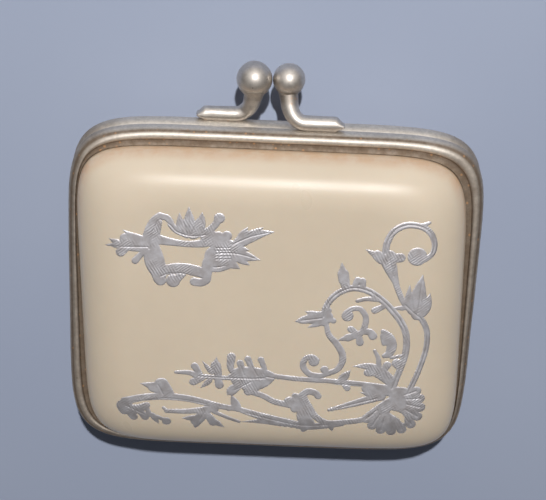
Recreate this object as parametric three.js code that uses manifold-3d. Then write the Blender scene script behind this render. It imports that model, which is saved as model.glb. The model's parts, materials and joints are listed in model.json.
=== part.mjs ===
// A hinged powder compact: two celluloid covers in a rolled nickel-silver frame, closed by a
// kiss-lock clasp, with a silver inlay on the lid and a mirror, powder pan and puff inside.
// Millimetres, +Z up. It lies on the back cover: the origin is the middle of that flat face,
// the clasp points to -Y and the hinge is at +Y.

import * as THREE from 'three';
import { mergeVertices } from 'three/addons/utils/BufferGeometryUtils.js';
import Module from 'manifold-3d';

const wasm = await Module();
wasm.setup();

// ---------------------------------------------------------------- driving dimensions

const WIDTH = 70;              // frame, across the clasp, bead crest to bead crest
const DEPTH = 59;              // frame, clasp side to hinge side
const THICKNESS = 19.6;        // back cover to lid cover, closed
const FRAME_SQUARENESS = 6.8;  // superellipse exponent of the frame's outline
const COVER_SQUARENESS = 8;    // the same for the covers
const SIDES = 48;              // facets round the outline
const CORNER_CROWDING = 0.17;  // moves facets from the straight sides to the round corners
const CORE = 29;               // lathe radius that stands for an inset of 0

const SPLIT_GAP = 0.05;        // from the split plane to each rim
const RIM_HEIGHT = 4.0;        // split plane to the ledge that the cover stands on
const BEAD_RADIUS = 2.27;      // rolled edge of the rim
const FLANGE_TOP = 1.3;        // inner flange of the rim, measured from the split plane
const FLANGE_INSET = 5.0;
const COVER_INSET = 2.4;       // frame crest to the cover's edge
const COVER_WALL = 1.0;
const FIT_GAP = 0.06;          // between fixed pieces that touch
const SHOULDER_WIDTH = 8.5;    // quarter-ellipse shoulder of a cover
const LID_COVER_SKEW = 0.035;  // the aged lid cover sits a little askew in its rim
const LID_COVER_SHIFT = 0.4;   // and slightly towards the hinge

const MID = THICKNESS / 2;

const HINGE_INSET = 0.6;       // pin axis, inwards from the bead crest
const HINGE_HALF_LENGTH = 10;
const KNUCKLES = 5;
const KNUCKLE_RADIUS = 1.2;
const KNUCKLE_GAP = 0.1;
const BORE_RADIUS = 0.6;
const PIN_RADIUS = 0.52;
const PIN_HEAD_RADIUS = 0.9;
const PIN_HEAD_LENGTH = 0.45;
const NOTCH_RADIUS = 1.5;
const NOTCH_END_ROOM = 0.8;
const LEAF_REACH = 3.2;        // hinge leaf, from the pin axis into the rim
const LEAF_THICKNESS = 0.75;

const CLASP_X = 1.6;           // the clasp sits slightly off the middle
const BALL_RADIUS = 2.8;
const BALL_OFFSET = 2.84;      // each ball's centre from the clasp's middle
const BALL_REACH = 7.8;        // ball centre outwards from the bead crest
const BALL_LEAN = 0.3;         // each ball leans over to the other half
const WIRE_RADIUS = 1.25;
const FOOT_REACH = 1.1;        // foot centre line outwards from the bead crest
const FOOT_TIP = 12.2;         // foot tip and bend, from the clasp's middle
const FOOT_BEND = 5.3;
const BEND_GAP = 0.35;         // between the soldered foot and the springy stalk
const WIRE_SIDES = 12;

const INLAY_LIFT = 0.06;       // inlay above the cover's surface, and its thickness
const INLAY_THICKNESS = 0.16;

const MIRROR_LIP = 0.4;        // bezel face, from the split plane
const BEZEL_INSET = 5.2;
const BEZEL_WALL = 0.7;
const BEZEL_OPENING_INSET = 7.2;
const GLASS_BOTTOM = 1.2;
const GLASS_THICKNESS = 1.4;
const CARD_THICKNESS = 0.8;

const DECK_INSET = 3.6;
const DECK_THICKNESS = 0.8;
const PAN_FLANGE_INSET = 7.6;
const PAN_FLANGE_TOP = 0.6;
const PAN_INSET = 9.2;         // outside of the pan's wall
const PAN_WALL = 0.7;
const PAN_DEPTH = 6.9;         // underside of the pan, from the split plane
const POWDER_TOP = 3.3;
const PUFF_INSET = 11;
const PUFF_BOTTOM = 2.9;
const PUFF_TOP = -0.6;         // above the split plane
const RIBBON_WIDTH = 12;
const RIBBON_THICKNESS = 0.25;

// ---------------------------------------------------------------- materials

const nickel = new THREE.MeshStandardMaterial({ color: 0xbdb5a6, roughness: 0.35, metalness: 1 });
const darkNickel = new THREE.MeshStandardMaterial({ color: 0x978b7c, roughness: 0.45, metalness: 1 });
const celluloid = new THREE.MeshStandardMaterial({ color: 0xd9c9b0, roughness: 0.3, metalness: 0 });
const silver = new THREE.MeshStandardMaterial({ color: 0xb4b1b8, roughness: 0.4, metalness: 1 });
const mirror = new THREE.MeshStandardMaterial({ color: 0xe6e8ea, roughness: 0.02, metalness: 1 });
const card = new THREE.MeshStandardMaterial({ color: 0x8c7b66, roughness: 0.9, metalness: 0 });
const powder = new THREE.MeshStandardMaterial({ color: 0xd8a88c, roughness: 1, metalness: 0 });
const velour = new THREE.MeshStandardMaterial({ color: 0xead9cf, roughness: 1, metalness: 0 });
const satin = new THREE.MeshStandardMaterial({ color: 0xc98f92, roughness: 0.5, metalness: 0 });

// ---------------------------------------------------------------- solids and booleans

// Turns a closed geometry into a solid: shared corners are merged, the flat triangles that a
// lathe leaves at its poles are dropped, and the faces are turned to point outwards.
function solid(geometry) {
  const bare = geometry.clone();
  bare.deleteAttribute('normal');
  bare.deleteAttribute('uv');
  const merged = mergeVertices(bare, 1e-5);
  const points = merged.attributes.position.array;
  const corners = merged.index.array;
  const faces = [];
  let volume = 0;
  const a = new THREE.Vector3();
  const b = new THREE.Vector3();
  const c = new THREE.Vector3();
  for (let i = 0; i < corners.length; i += 3) {
    const [p, q, r] = corners.slice(i, i + 3);
    if (p === q || q === r || r === p) continue;
    faces.push([p, q, r]);
    a.fromArray(points, 3 * p);
    b.fromArray(points, 3 * q);
    c.fromArray(points, 3 * r);
    volume += a.dot(b.cross(c));
  }
  const outward = volume > 0 ? faces : faces.map(([p, q, r]) => [p, r, q]);
  const mesh = new wasm.Mesh({
    numProp: 3,
    vertProperties: Float32Array.from(points),
    triVerts: Uint32Array.from(outward.flat()),
  });
  mesh.merge();
  return new wasm.Manifold(mesh);
}

function geometryOf(manifold) {
  const mesh = manifold.getMesh();
  const geometry = new THREE.BufferGeometry();
  geometry.setAttribute('position', new THREE.BufferAttribute(mesh.vertProperties, 3));
  geometry.setIndex(new THREE.BufferAttribute(mesh.triVerts, 1));
  geometry.computeVertexNormals();
  return geometry;
}

function union(solids) {
  return solids.reduce((sum, next) => sum.add(next));
}

const group = new THREE.Group();

function addPiece(name, manifold, material) {
  const mesh = new THREE.Mesh(geometryOf(manifold), material);
  mesh.name = name;
  group.add(mesh);
}

function box(sizeX, sizeY, sizeZ, x, y, z) {
  return solid(new THREE.BoxGeometry(sizeX, sizeY, sizeZ).translate(x, y, z));
}

// A cylinder along X, centred on (x, y, z).
function rod(radius, length, x, y, z, sides = 28) {
  const cylinder = new THREE.CylinderGeometry(radius, radius, length, sides);
  return solid(cylinder.rotateZ(Math.PI / 2).translate(x, y, z));
}

// ---------------------------------------------------------------- outlines

// A point of the rounded-rectangle outline at an angle, inset from the frame's crest.
function outlinePoint(angle, inset, outline) {
  const halfWidth = WIDTH / 2 - inset;
  const halfDepth = DEPTH / 2 - inset;
  const power = outline.squareness;
  const crowded = angle + CORNER_CROWDING * Math.sin(4 * angle);
  const cosine = Math.cos(crowded);
  const sine = Math.sin(crowded);
  const reach = (Math.abs(cosine) ** power + Math.abs(sine) ** power) ** (-1 / power);
  const y = halfDepth * sine * reach;
  return [halfWidth * cosine * reach - outline.skew * y, y + outline.shift];
}

const FRAME = { squareness: FRAME_SQUARENESS, skew: 0, shift: 0 };
const BASE_COVER = { squareness: COVER_SQUARENESS, skew: 0, shift: 0 };
const LID_COVER = { squareness: COVER_SQUARENESS, skew: LID_COVER_SKEW, shift: LID_COVER_SHIFT };

// Sweeps a profile round an outline. Each profile point is [inset, height]; an inset of null is
// the middle of the piece. Heights run from the split plane into the half: up in the lid
// (direction 1) and down in the base (direction -1).
function sweep(profile, outline, direction) {
  const points = profile.map(([inset, height]) => (
    new THREE.Vector2(inset === null ? 0 : CORE - inset, MID + direction * height)
  ));
  const lathe = new THREE.LatheGeometry(points, SIDES);
  const position = lathe.attributes.position;
  for (let i = 0; i < position.count; i += 1) {
    const across = position.getX(i);
    const along = position.getZ(i);
    const radius = Math.hypot(across, along);
    const height = position.getY(i);
    if (radius < 1e-6) {
      position.setXYZ(i, 0, outline.shift, height);
    } else {
      const [x, y] = outlinePoint(Math.atan2(along, across), CORE - radius, outline);
      position.setXYZ(i, x, y, height);
    }
  }
  return solid(lathe);
}

// A flat plate between two heights, and a ring-shaped one between two insets.
function plate(inset, low, high, outline, direction) {
  return sweep([[null, low], [inset, low], [inset, high], [null, high]], outline, direction);
}

function frameRing(outer, inner, low, high, outline, direction) {
  const profile = [[outer, low], [outer, high], [inner, high], [inner, low], [outer, low]];
  return sweep(profile, outline, direction);
}

// ---------------------------------------------------------------- rims and covers

function rimBody(direction) {
  const beadCentre = (RIM_HEIGHT + SPLIT_GAP) / 2;
  const halfAngle = Math.asin((RIM_HEIGHT - SPLIT_GAP) / 2 / BEAD_RADIUS);
  const beadSteps = 6;
  const profile = [[null, SPLIT_GAP]];
  for (let i = 0; i <= beadSteps; i += 1) {
    const angle = halfAngle * (2 * i / beadSteps - 1);
    const inset = BEAD_RADIUS * (1 - Math.cos(angle));
    profile.push([inset, beadCentre + BEAD_RADIUS * Math.sin(angle)]);
  }
  profile.push([null, RIM_HEIGHT]);
  return sweep(profile, FRAME, direction);
}

function rim(direction, coverOutline, ownKnuckles) {
  const high = RIM_HEIGHT + 1;
  const seat = plate(COVER_INSET, FLANGE_TOP, high, coverOutline, direction);
  const mouth = plate(FLANGE_INSET, -1, high, FRAME, direction);
  const notchLength = 2 * (HINGE_HALF_LENGTH + NOTCH_END_ROOM);
  const notch = rod(NOTCH_RADIUS, notchLength, 0, HINGE_Y, MID);
  let body = rimBody(direction).subtract(seat).subtract(mouth).subtract(notch);
  for (const index of ownKnuckles) {
    body = body.subtract(hingeLeaf(index, direction, FIT_GAP));
  }
  return body;
}

// The skin of a cover above the ledge, from its edge to its middle. wall is 0 for the outside
// and the wall's thickness for the inside.
function shoulder(wall) {
  const width = SHOULDER_WIDTH - wall;
  const rise = MID - RIM_HEIGHT - wall;
  const steps = 6;
  const points = [];
  for (let i = 0; i <= steps; i += 1) {
    const angle = (Math.PI / 2) * (i / steps);
    points.push([
      COVER_INSET + wall + width * (1 - Math.cos(angle)),
      RIM_HEIGHT + rise * Math.sin(angle),
    ]);
  }
  points.push([null, MID - wall]);
  return points;
}

function cover(direction, outline) {
  const skirtEnd = FLANGE_TOP + FIT_GAP;
  const outerEdge = COVER_INSET + FIT_GAP;
  const innerEdge = COVER_INSET + COVER_WALL;
  const outside = shoulder(0);
  outside[0] = [outerEdge, RIM_HEIGHT];
  const skirt = [[outerEdge, skirtEnd], [innerEdge, skirtEnd]];
  return sweep([...outside.reverse(), ...skirt, ...shoulder(COVER_WALL)], outline, direction);
}

// ---------------------------------------------------------------- hinge

const HINGE_Y = DEPTH / 2 - HINGE_INSET;
const KNUCKLE_PITCH = (2 * HINGE_HALF_LENGTH) / KNUCKLES;

function knuckleX(index) {
  return -HINGE_HALF_LENGTH + KNUCKLE_PITCH * (index + 0.5);
}

// The flat leaf of a knuckle, let into the rim's flange beside the split plane.
function hingeLeaf(index, direction, grow) {
  const width = KNUCKLE_PITCH - KNUCKLE_GAP - 0.2 + 2 * grow;
  const length = LEAF_REACH + 2 * grow;
  const low = SPLIT_GAP - 3 * grow;
  const high = SPLIT_GAP + LEAF_THICKNESS + grow;
  const z = MID + direction * (low + high) / 2;
  return box(width, length, high - low, knuckleX(index), HINGE_Y - LEAF_REACH / 2, z);
}

function knuckle(index, direction) {
  const x = knuckleX(index);
  const barrel = rod(KNUCKLE_RADIUS, KNUCKLE_PITCH - KNUCKLE_GAP, x, HINGE_Y, MID);
  const bore = rod(BORE_RADIUS, KNUCKLE_PITCH + 1, x, HINGE_Y, MID, 24);
  return barrel.add(hingeLeaf(index, direction, 0)).subtract(bore);
}

function hingePin() {
  const headX = HINGE_HALF_LENGTH + KNUCKLE_GAP / 2 + PIN_HEAD_LENGTH / 2;
  return union([
    rod(PIN_RADIUS, 2 * headX, 0, HINGE_Y, MID, 24),
    rod(PIN_HEAD_RADIUS, PIN_HEAD_LENGTH, -headX, HINGE_Y, MID, 24),
    rod(PIN_HEAD_RADIUS, PIN_HEAD_LENGTH, headX, HINGE_Y, MID, 24),
  ]);
}

// ---------------------------------------------------------------- kiss-lock clasp

const CREST_Y = -DEPTH / 2;
const BEAD_HEIGHT = (RIM_HEIGHT + SPLIT_GAP) / 2;

function circleShape(radius, sides) {
  const shape = new THREE.Shape();
  for (let i = 0; i < sides; i += 1) {
    const angle = (2 * Math.PI * i) / sides;
    const point = [radius * Math.cos(angle), radius * Math.sin(angle)];
    if (i === 0) shape.moveTo(...point);
    else shape.lineTo(...point);
  }
  return shape;
}

function wire(points, steps) {
  const path = new THREE.CatmullRomCurve3(points.map((point) => new THREE.Vector3(...point)));
  const shape = circleShape(WIRE_RADIUS, WIRE_SIDES);
  return solid(new THREE.ExtrudeGeometry(shape, { steps, extrudePath: path, bevelEnabled: false }));
}

// direction is 1 for the lid's arm and -1 for the base's. The base's arm stands at +X and the
// lid's at -X, and each foot lies along the crest of its own bead.
function claspFoot(direction) {
  const side = -direction;
  const z = MID + direction * BEAD_HEIGHT;
  const y = CREST_Y - FOOT_REACH;
  const straight = wire([
    [CLASP_X + side * FOOT_TIP, y, z],
    [CLASP_X + side * (FOOT_TIP + FOOT_BEND) / 2, y, z],
    [CLASP_X + side * FOOT_BEND, y, z],
  ], 4);
  const flat = CREST_Y - FIT_GAP;
  return straight.subtract(box(WIDTH, 2, 2 * WIRE_RADIUS + 2, CLASP_X, flat + 1, z));
}

function claspStalk(direction) {
  const side = -direction;
  const z = MID + direction * BEAD_HEIGHT;
  const ballZ = MID - direction * BALL_LEAN;
  const ballY = CREST_Y - BALL_REACH;
  const bend = FOOT_BEND - BEND_GAP;
  const flat = CREST_Y - FIT_GAP;
  const arm = wire([
    [CLASP_X + side * bend, CREST_Y - FOOT_REACH, z],
    [CLASP_X + side * (bend - 0.7), CREST_Y - FOOT_REACH - 0.1, z],
    [CLASP_X + side * (bend - 1.7), CREST_Y - FOOT_REACH - 0.9, z],
    [CLASP_X + side * (BALL_OFFSET + 0.25), CREST_Y - FOOT_REACH - 2.2, (2 * z + ballZ) / 3],
    [CLASP_X + side * BALL_OFFSET, ballY + BALL_RADIUS - 0.4, ballZ],
  ], 12);
  const trimmed = arm.subtract(box(WIDTH, 2, 2 * WIRE_RADIUS + 2, CLASP_X, flat + 1, z));
  return trimmed.subtract(claspBall(direction, 2 * FIT_GAP));
}

function claspBall(direction, grow = 0) {
  const x = CLASP_X - direction * BALL_OFFSET;
  const ball = new THREE.SphereGeometry(BALL_RADIUS + grow, 20, 12);
  return solid(ball.translate(x, CREST_Y - BALL_REACH, MID - direction * BALL_LEAN));
}

// ---------------------------------------------------------------- silver inlay

// Ornament is drawn on the closed lid as seen from outside with the clasp at the top:
// s to the right and t up. s is -X and t is -Y.
function prism(shape) {
  const tall = new THREE.ExtrudeGeometry(shape, { depth: 2 * THICKNESS, bevelEnabled: false });
  return solid(tall.rotateZ(Math.PI));
}

// A curved stroke that tapers from one width to another.
function stroke(points, startWidth, endWidth, steps = 3 * points.length) {
  const curve = new THREE.SplineCurve(points.map((point) => new THREE.Vector2(...point)));
  const left = [];
  const right = [];
  for (let i = 0; i <= steps; i += 1) {
    const along = i / steps;
    const middle = curve.getPointAt(along);
    const tangent = curve.getTangentAt(along);
    const half = THREE.MathUtils.lerp(startWidth, endWidth, along) / 2;
    left.push(new THREE.Vector2(middle.x - half * tangent.y, middle.y + half * tangent.x));
    right.push(new THREE.Vector2(middle.x + half * tangent.y, middle.y - half * tangent.x));
  }
  return prism(new THREE.Shape([...left, ...right.reverse()]));
}

// A leaf from its root to its tip, widest in the middle.
// width is how far its edge curves out on each side.
function leaf(root, tip, width) {
  const [rootS, rootT] = root;
  const [tipS, tipT] = tip;
  const alongS = tipS - rootS;
  const alongT = tipT - rootT;
  const length = Math.hypot(alongS, alongT);
  const sideS = (-alongT / length) * width;
  const sideT = (alongS / length) * width;
  const middleS = (rootS + tipS) / 2;
  const middleT = (rootT + tipT) / 2;
  const shape = new THREE.Shape();
  shape.moveTo(rootS - sideS / 5, rootT - sideT / 5);
  shape.quadraticCurveTo(middleS - sideS, middleT - sideT, tipS, tipT);
  shape.quadraticCurveTo(middleS + sideS, middleT + sideT, rootS + sideS / 5, rootT + sideT / 5);
  shape.closePath();
  return prism(new THREE.Shape(shape.getPoints(3)));
}

function disc(s, t, radius) {
  const shape = new THREE.Shape(circleShape(radius, 12).getPoints().map((point) => (
    new THREE.Vector2(point.x + s, point.y + t)
  )));
  return prism(shape);
}

// The thin layer that the ornament is cut from: the lid's skin, raised and thickened.
function inlayLayer() {
  const skin = sweep([[null, 0], [COVER_INSET, 0], ...shoulder(0)], LID_COVER, 1);
  const top = skin.translate([0, 0, INLAY_LIFT + INLAY_THICKNESS]);
  return top.subtract(skin.translate([0, 0, INLAY_LIFT]));
}

function cartouche() {
  return union([
    stroke([[-20, 8], [-20.3, 12.5], [-16, 13.6], [-11, 12.6], [-10.6, 8], [-15.5, 5.2], [-20.2, 7.6]],
      2.6, 2.6),
    stroke([[-20.5, 12], [-20.6, 15.5], [-18.4, 16.6], [-17.3, 14.6]], 1.6, 1),
    leaf([-10.5, 11.5], [-9, 17], 1.8),
    leaf([-15.3, 13], [-15.8, 17.6], 1.6),
    leaf([-14.3, 13], [-12.6, 17.8], 1.6),
    leaf([-20, 10.5], [-27.4, 10.2], 1.9),
    leaf([-21.5, 10.5], [-24.9, 13.2], 1.2),
    leaf([-20, 9.5], [-23.4, 7.4], 1.3),
    leaf([-10, 12.2], [-0.6, 14.2], 1.7),
    leaf([-10, 10.8], [-2.8, 9.2], 1.9),
    leaf([-10.5, 9], [-8, 6.6], 1.4),
    stroke([[-19.5, 8], [-20, 5.4], [-18, 4.4], [-16.6, 5.4]], 1.8, 1.4),
    stroke([[-11.2, 8], [-10.4, 5.2], [-12.2, 4], [-14.6, 5]], 1.8, 1.4),
  ]);
}

const SHELL_CENTRE = [20.6, -17.2];
const SHELL_REACH = [6, 4.6];
const SHELL_RIBS = 7;
const SHELL_FIRST_RIB = -100;  // degrees from +s
const SHELL_RIB_PITCH = 28;

function cornerShell() {
  const [s, t] = SHELL_CENTRE;
  const [reachS, reachT] = SHELL_REACH;
  const ribs = [disc(s, t, 1.6)];
  for (let i = 0; i < SHELL_RIBS; i += 1) {
    const angle = THREE.MathUtils.degToRad(SHELL_FIRST_RIB + i * SHELL_RIB_PITCH);
    ribs.push(leaf([s, t], [s + reachS * Math.cos(angle), t + reachT * Math.sin(angle)], 1.7));
  }
  return union(ribs);
}

// The stem that climbs the right side and curls over at the top.
function outerStem() {
  return union([
    stroke([[23, -15], [25.8, -9], [26.2, -3], [22.4, 2], [18, 10.2]], 1.5, 1),
    stroke([[18.4, 9.6], [18.4, 13.4], [21.4, 16.2], [25.2, 15.2], [25.6, 11.4], [23.4, 10.6]], 1.1, 1),
    disc(23.2, 11.2, 1.5),
    leaf([18.4, 9.2], [15.2, 11.8], 1.4),
    leaf([18.6, 9.2], [21.6, 10.8], 1.2),
    leaf([25, -0.4], [24.9, 7.4], 2),
  ]);
}

// The stem that arches over inside it, with its bud, its leaf and the curl that it ends in.
function innerStem() {
  return union([
    stroke([[20.6, -16], [22.6, -7], [20.4, 0.8], [14, 4.3], [9.6, 1.4], [8.8, -1.4]], 1.4, 1.1),
    leaf([9.6, -0.4], [4.8, -1.4], 1.9),
    leaf([12.6, 4], [11, 8.8], 1.6),
    leaf([13.4, 4.2], [14.6, 7.2], 1.2),
    stroke([[9, -0.8], [10.2, -4.4], [12.2, -8], [9.4, -11.2], [5.9, -9.4]], 1.1, 0.9),
    disc(6.6, -8.8, 1.1),
    stroke([[22.2, -8.4], [18, -9.8], [14.6, -9.4]], 1.2, 0.8),
    stroke([[22.4, -5.4], [19.6, -3.2], [16, -3.4], [13.6, -4.6]], 1.4, 0.9),
    leaf([16.8, -3.4], [12.6, 0.4], 1.4),
  ]);
}

// The two sprays that run left from the shell: a palmette, and the long leaf below it.
function lowerSprays() {
  return union([
    stroke([[20.6, -13.4], [12, -12.4], [4, -12.6], [-2, -11.4]], 1, 1),
    leaf([0, -11.8], [-8.4, -9], 2.4),
    leaf([-1, -11.6], [-2.6, -8], 1.4),
    leaf([-1, -12], [-9, -13.4], 2.6),
    stroke([[-2, -11.8], [-7, -11.4], [-15.6, -12]], 2, 0.8),
    stroke([[-3, -12.4], [-1, -15.8], [5, -18.6], [12, -19.4], [20, -18.2]], 1.2, 1.4),
    stroke([[20.6, -16], [14, -16.8], [8.4, -18.6]], 1.1, 1.1),
    stroke([[6.4, -18.6], [4.2, -16.6], [6, -14.6], [8.6, -15.4]], 1.2, 1),
    stroke([[14, -19.6], [4, -21], [-2, -19.6], [-12, -17.4], [-23, -17.6]], 1.4, 1.4),
    leaf([-20, -17.2], [-26.2, -20], 2.2),
    leaf([-19, -17], [-18.2, -22], 2),
    leaf([-17, -17], [-20, -13.8], 1.6),
    leaf([-9, -18], [-13, -22], 1.8),
    leaf([8, -20.6], [-3.6, -22.2], 1.4),
  ]);
}

// ---------------------------------------------------------------- inside

function bezel() {
  const glassInset = BEZEL_INSET + BEZEL_WALL;
  const wallTop = GLASS_BOTTOM + GLASS_THICKNESS + CARD_THICKNESS + 4 * FIT_GAP;
  const lipTop = GLASS_BOTTOM - FIT_GAP;
  return sweep([
    [BEZEL_INSET, MIRROR_LIP], [BEZEL_INSET, wallTop], [glassInset, wallTop], [glassInset, lipTop],
    [BEZEL_OPENING_INSET, lipTop], [BEZEL_OPENING_INSET - 0.5, MIRROR_LIP], [BEZEL_INSET, MIRROR_LIP],
  ], FRAME, 1);
}

function pan() {
  const flangeBottom = PAN_FLANGE_TOP + 0.6;
  const wallInside = PAN_INSET + PAN_WALL;
  return sweep([
    [null, PAN_DEPTH], [PAN_INSET + 0.8, PAN_DEPTH], [PAN_INSET, PAN_DEPTH - 0.8],
    [PAN_INSET, flangeBottom], [PAN_FLANGE_INSET, flangeBottom], [PAN_FLANGE_INSET, PAN_FLANGE_TOP],
    [wallInside, PAN_FLANGE_TOP], [wallInside, PAN_DEPTH - 1.2], [wallInside + 0.6, PAN_DEPTH - 0.6],
    [null, PAN_DEPTH - 0.6],
  ], FRAME, -1);
}

function pressedPowder() {
  const edge = PAN_INSET + PAN_WALL + FIT_GAP;
  const bottom = PAN_DEPTH - 0.6 - FIT_GAP;
  return sweep([
    [null, bottom], [edge + 0.6, bottom], [edge, bottom - 0.7], [edge, POWDER_TOP + 0.5],
    [edge + 1, POWDER_TOP + 0.1], [null, POWDER_TOP],
  ], FRAME, -1);
}

function puff() {
  const waist = (PUFF_TOP + PUFF_BOTTOM) / 2;
  return sweep([
    [null, PUFF_BOTTOM], [PUFF_INSET + 1.4, PUFF_BOTTOM], [PUFF_INSET + 0.4, PUFF_BOTTOM - 0.5],
    [PUFF_INSET, waist], [PUFF_INSET + 0.4, PUFF_TOP + 0.5], [PUFF_INSET + 1.4, PUFF_TOP],
    [null, PUFF_TOP],
  ], FRAME, -1);
}

function ribbon() {
  const length = WIDTH - 2 * PUFF_INSET - 4;
  const z = MID - PUFF_TOP + FIT_GAP + RIBBON_THICKNESS / 2;
  return box(length, RIBBON_WIDTH, RIBBON_THICKNESS, 0, 0, z);
}

function glassPlate(low, thickness) {
  return plate(BEZEL_INSET + BEZEL_WALL + FIT_GAP, low, low + thickness, FRAME, 1);
}

// ---------------------------------------------------------------- assembly

const BASE_KNUCKLES = [0, 2, 4];
const LID_KNUCKLES = [1, 3];

addPiece('base_cover', cover(-1, BASE_COVER), celluloid);
addPiece('base_rim', rim(-1, BASE_COVER, BASE_KNUCKLES), nickel);
addPiece('lid_cover', cover(1, LID_COVER), celluloid);
addPiece('lid_rim', rim(1, LID_COVER, LID_KNUCKLES), nickel);

for (const index of BASE_KNUCKLES) {
  addPiece(`hinge_knuckle_${index + 1}`, knuckle(index, -1), darkNickel);
}
for (const index of LID_KNUCKLES) {
  addPiece(`hinge_knuckle_${index + 1}`, knuckle(index, 1), darkNickel);
}
addPiece('hinge_pin', hingePin(), darkNickel);

for (const [half, direction] of [['base', -1], ['lid', 1]]) {
  addPiece(`${half}_clasp_foot`, claspFoot(direction), nickel);
  addPiece(`${half}_clasp_stalk`, claspStalk(direction), nickel);
  addPiece(`${half}_clasp_ball`, claspBall(direction), nickel);
}

const layer = inlayLayer();
addPiece('cartouche_inlay', cartouche().intersect(layer), silver);
const scroll = union([cornerShell(), outerStem(), innerStem(), lowerSprays()]);
addPiece('corner_scroll_inlay', scroll.intersect(layer), silver);

const cardBottom = GLASS_BOTTOM + GLASS_THICKNESS + FIT_GAP;
addPiece('mirror_bezel', bezel(), nickel);
addPiece('mirror_glass', glassPlate(GLASS_BOTTOM, GLASS_THICKNESS), mirror);
addPiece('mirror_backing', glassPlate(cardBottom, CARD_THICKNESS), card);

const deckTop = FLANGE_TOP + FIT_GAP;
const deck = frameRing(DECK_INSET, PAN_INSET - FIT_GAP, deckTop, deckTop + DECK_THICKNESS, FRAME, -1);
addPiece('deck_plate', deck, nickel);
addPiece('powder_pan', pan(), nickel);
addPiece('pressed_powder', pressedPowder(), powder);
addPiece('powder_puff', puff(), velour);
addPiece('puff_ribbon', ribbon(), satin);

export default group;
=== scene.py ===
"""Looks of the powder compact: shells, rolled frame, clasp, silver inlay and the inside.

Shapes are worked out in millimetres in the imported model's frame and written to meshes in metres.
The compact lies on its back cover, with the clasp towards -Y and the hinge at +Y.
"""

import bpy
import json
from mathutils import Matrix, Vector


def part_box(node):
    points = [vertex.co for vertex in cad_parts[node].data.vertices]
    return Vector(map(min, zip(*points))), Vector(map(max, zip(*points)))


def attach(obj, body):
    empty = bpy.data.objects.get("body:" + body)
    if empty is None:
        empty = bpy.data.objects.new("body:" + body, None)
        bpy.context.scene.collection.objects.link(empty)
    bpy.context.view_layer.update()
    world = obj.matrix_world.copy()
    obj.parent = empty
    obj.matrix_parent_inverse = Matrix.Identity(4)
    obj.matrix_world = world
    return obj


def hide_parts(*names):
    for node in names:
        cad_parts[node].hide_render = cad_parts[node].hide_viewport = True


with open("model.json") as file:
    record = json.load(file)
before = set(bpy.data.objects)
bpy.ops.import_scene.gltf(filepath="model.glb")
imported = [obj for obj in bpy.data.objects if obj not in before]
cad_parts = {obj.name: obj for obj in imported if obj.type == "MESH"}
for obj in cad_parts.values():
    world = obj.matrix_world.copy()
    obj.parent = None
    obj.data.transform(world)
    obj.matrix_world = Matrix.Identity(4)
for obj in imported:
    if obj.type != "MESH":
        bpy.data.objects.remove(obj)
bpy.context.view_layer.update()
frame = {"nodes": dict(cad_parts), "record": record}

import json
import math

import bmesh
import bpy
import numpy as np
from mathutils import Matrix, Vector, noise

MM = 0.001

# ---------- dimensions from the frame


def box_mm(node):
    low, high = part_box(node)
    return low / MM, high / MM


rim_low, rim_high = box_mm("lid_rim")
WIDTH = rim_high.x - rim_low.x
DEPTH = rim_high.y - rim_low.y
MID = (box_mm("base_rim")[1].z + rim_low.z) / 2
RIM_HEIGHT = rim_high.z - MID
COVER_HEIGHT = box_mm("lid_cover")[1].z - MID
CREST_Y = -DEPTH / 2

FRAME_SQUARENESS = 7.0
COVER_SQUARENESS = 7.6
LID_COVER_SKEW = 0.04
LID_COVER_SHIFT = 0.75
SIDES = 176
CORNER_CROWDING = 0.17

SPLIT_GAP = 0.05
BEAD_RADIUS = 2.27
BEAD_HEIGHT = (RIM_HEIGHT + SPLIT_GAP) / 2
FLANGE_TOP = 1.3
FLANGE_INSET = 5.0
COVER_INSET = 2.4
COVER_WALL = 1.0
SHOULDER_WIDTH = 8.5

HINGE_Y = DEPTH / 2 - 0.6
KNUCKLE_RADIUS = 1.2
BORE_RADIUS = 0.6
NOTCH_RADIUS = 1.5
NOTCH_HALF_LENGTH = 10.8

# ---------- mesh helpers


def make_object(name, verts, faces, sharp_degrees=40):
    """An object from points in millimetres. Edges sharper than the angle stay crisp."""
    mesh = bpy.data.meshes.new(name)
    mesh.from_pydata([(x * MM, y * MM, z * MM) for x, y, z in verts], [], faces)
    mesh.validate()
    tidy_normals(mesh, sharp_degrees)
    piece = bpy.data.objects.new(name, mesh)
    bpy.context.scene.collection.objects.link(piece)
    return piece


def tidy_normals(mesh, sharp_degrees):
    shape = bmesh.new()
    shape.from_mesh(mesh)
    bmesh.ops.remove_doubles(shape, verts=shape.verts, dist=1e-7)
    bmesh.ops.recalc_face_normals(shape, faces=shape.faces)
    shape.to_mesh(mesh)
    shape.free()
    mesh.shade_smooth()
    mesh.set_sharp_from_angle(angle=math.radians(sharp_degrees))


def apply_modifiers(piece):
    """Replaces the piece's mesh by the one its modifiers make."""
    graph = bpy.context.evaluated_depsgraph_get()
    mesh = bpy.data.meshes.new_from_object(piece.evaluated_get(graph))
    piece.modifiers.clear()
    piece.data = mesh


def cut_away(piece, cutter, sharp_degrees=40):
    modifier = piece.modifiers.new("cut", "BOOLEAN")
    modifier.operation = "DIFFERENCE"
    modifier.solver = "EXACT"
    modifier.object = cutter
    bpy.context.view_layer.update()
    apply_modifiers(piece)
    bpy.data.objects.remove(cutter)
    tidy_normals(piece.data, sharp_degrees)


def mark(piece, name, value_at):
    """Stores a number at each vertex, worked out from its place in millimetres."""
    attribute = piece.data.attributes.get(name)
    if attribute is None:
        attribute = piece.data.attributes.new(name, "FLOAT", "POINT")
    values = [float(value_at(*(vertex.co / MM))) for vertex in piece.data.vertices]
    attribute.data.foreach_set("value", values)


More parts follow.
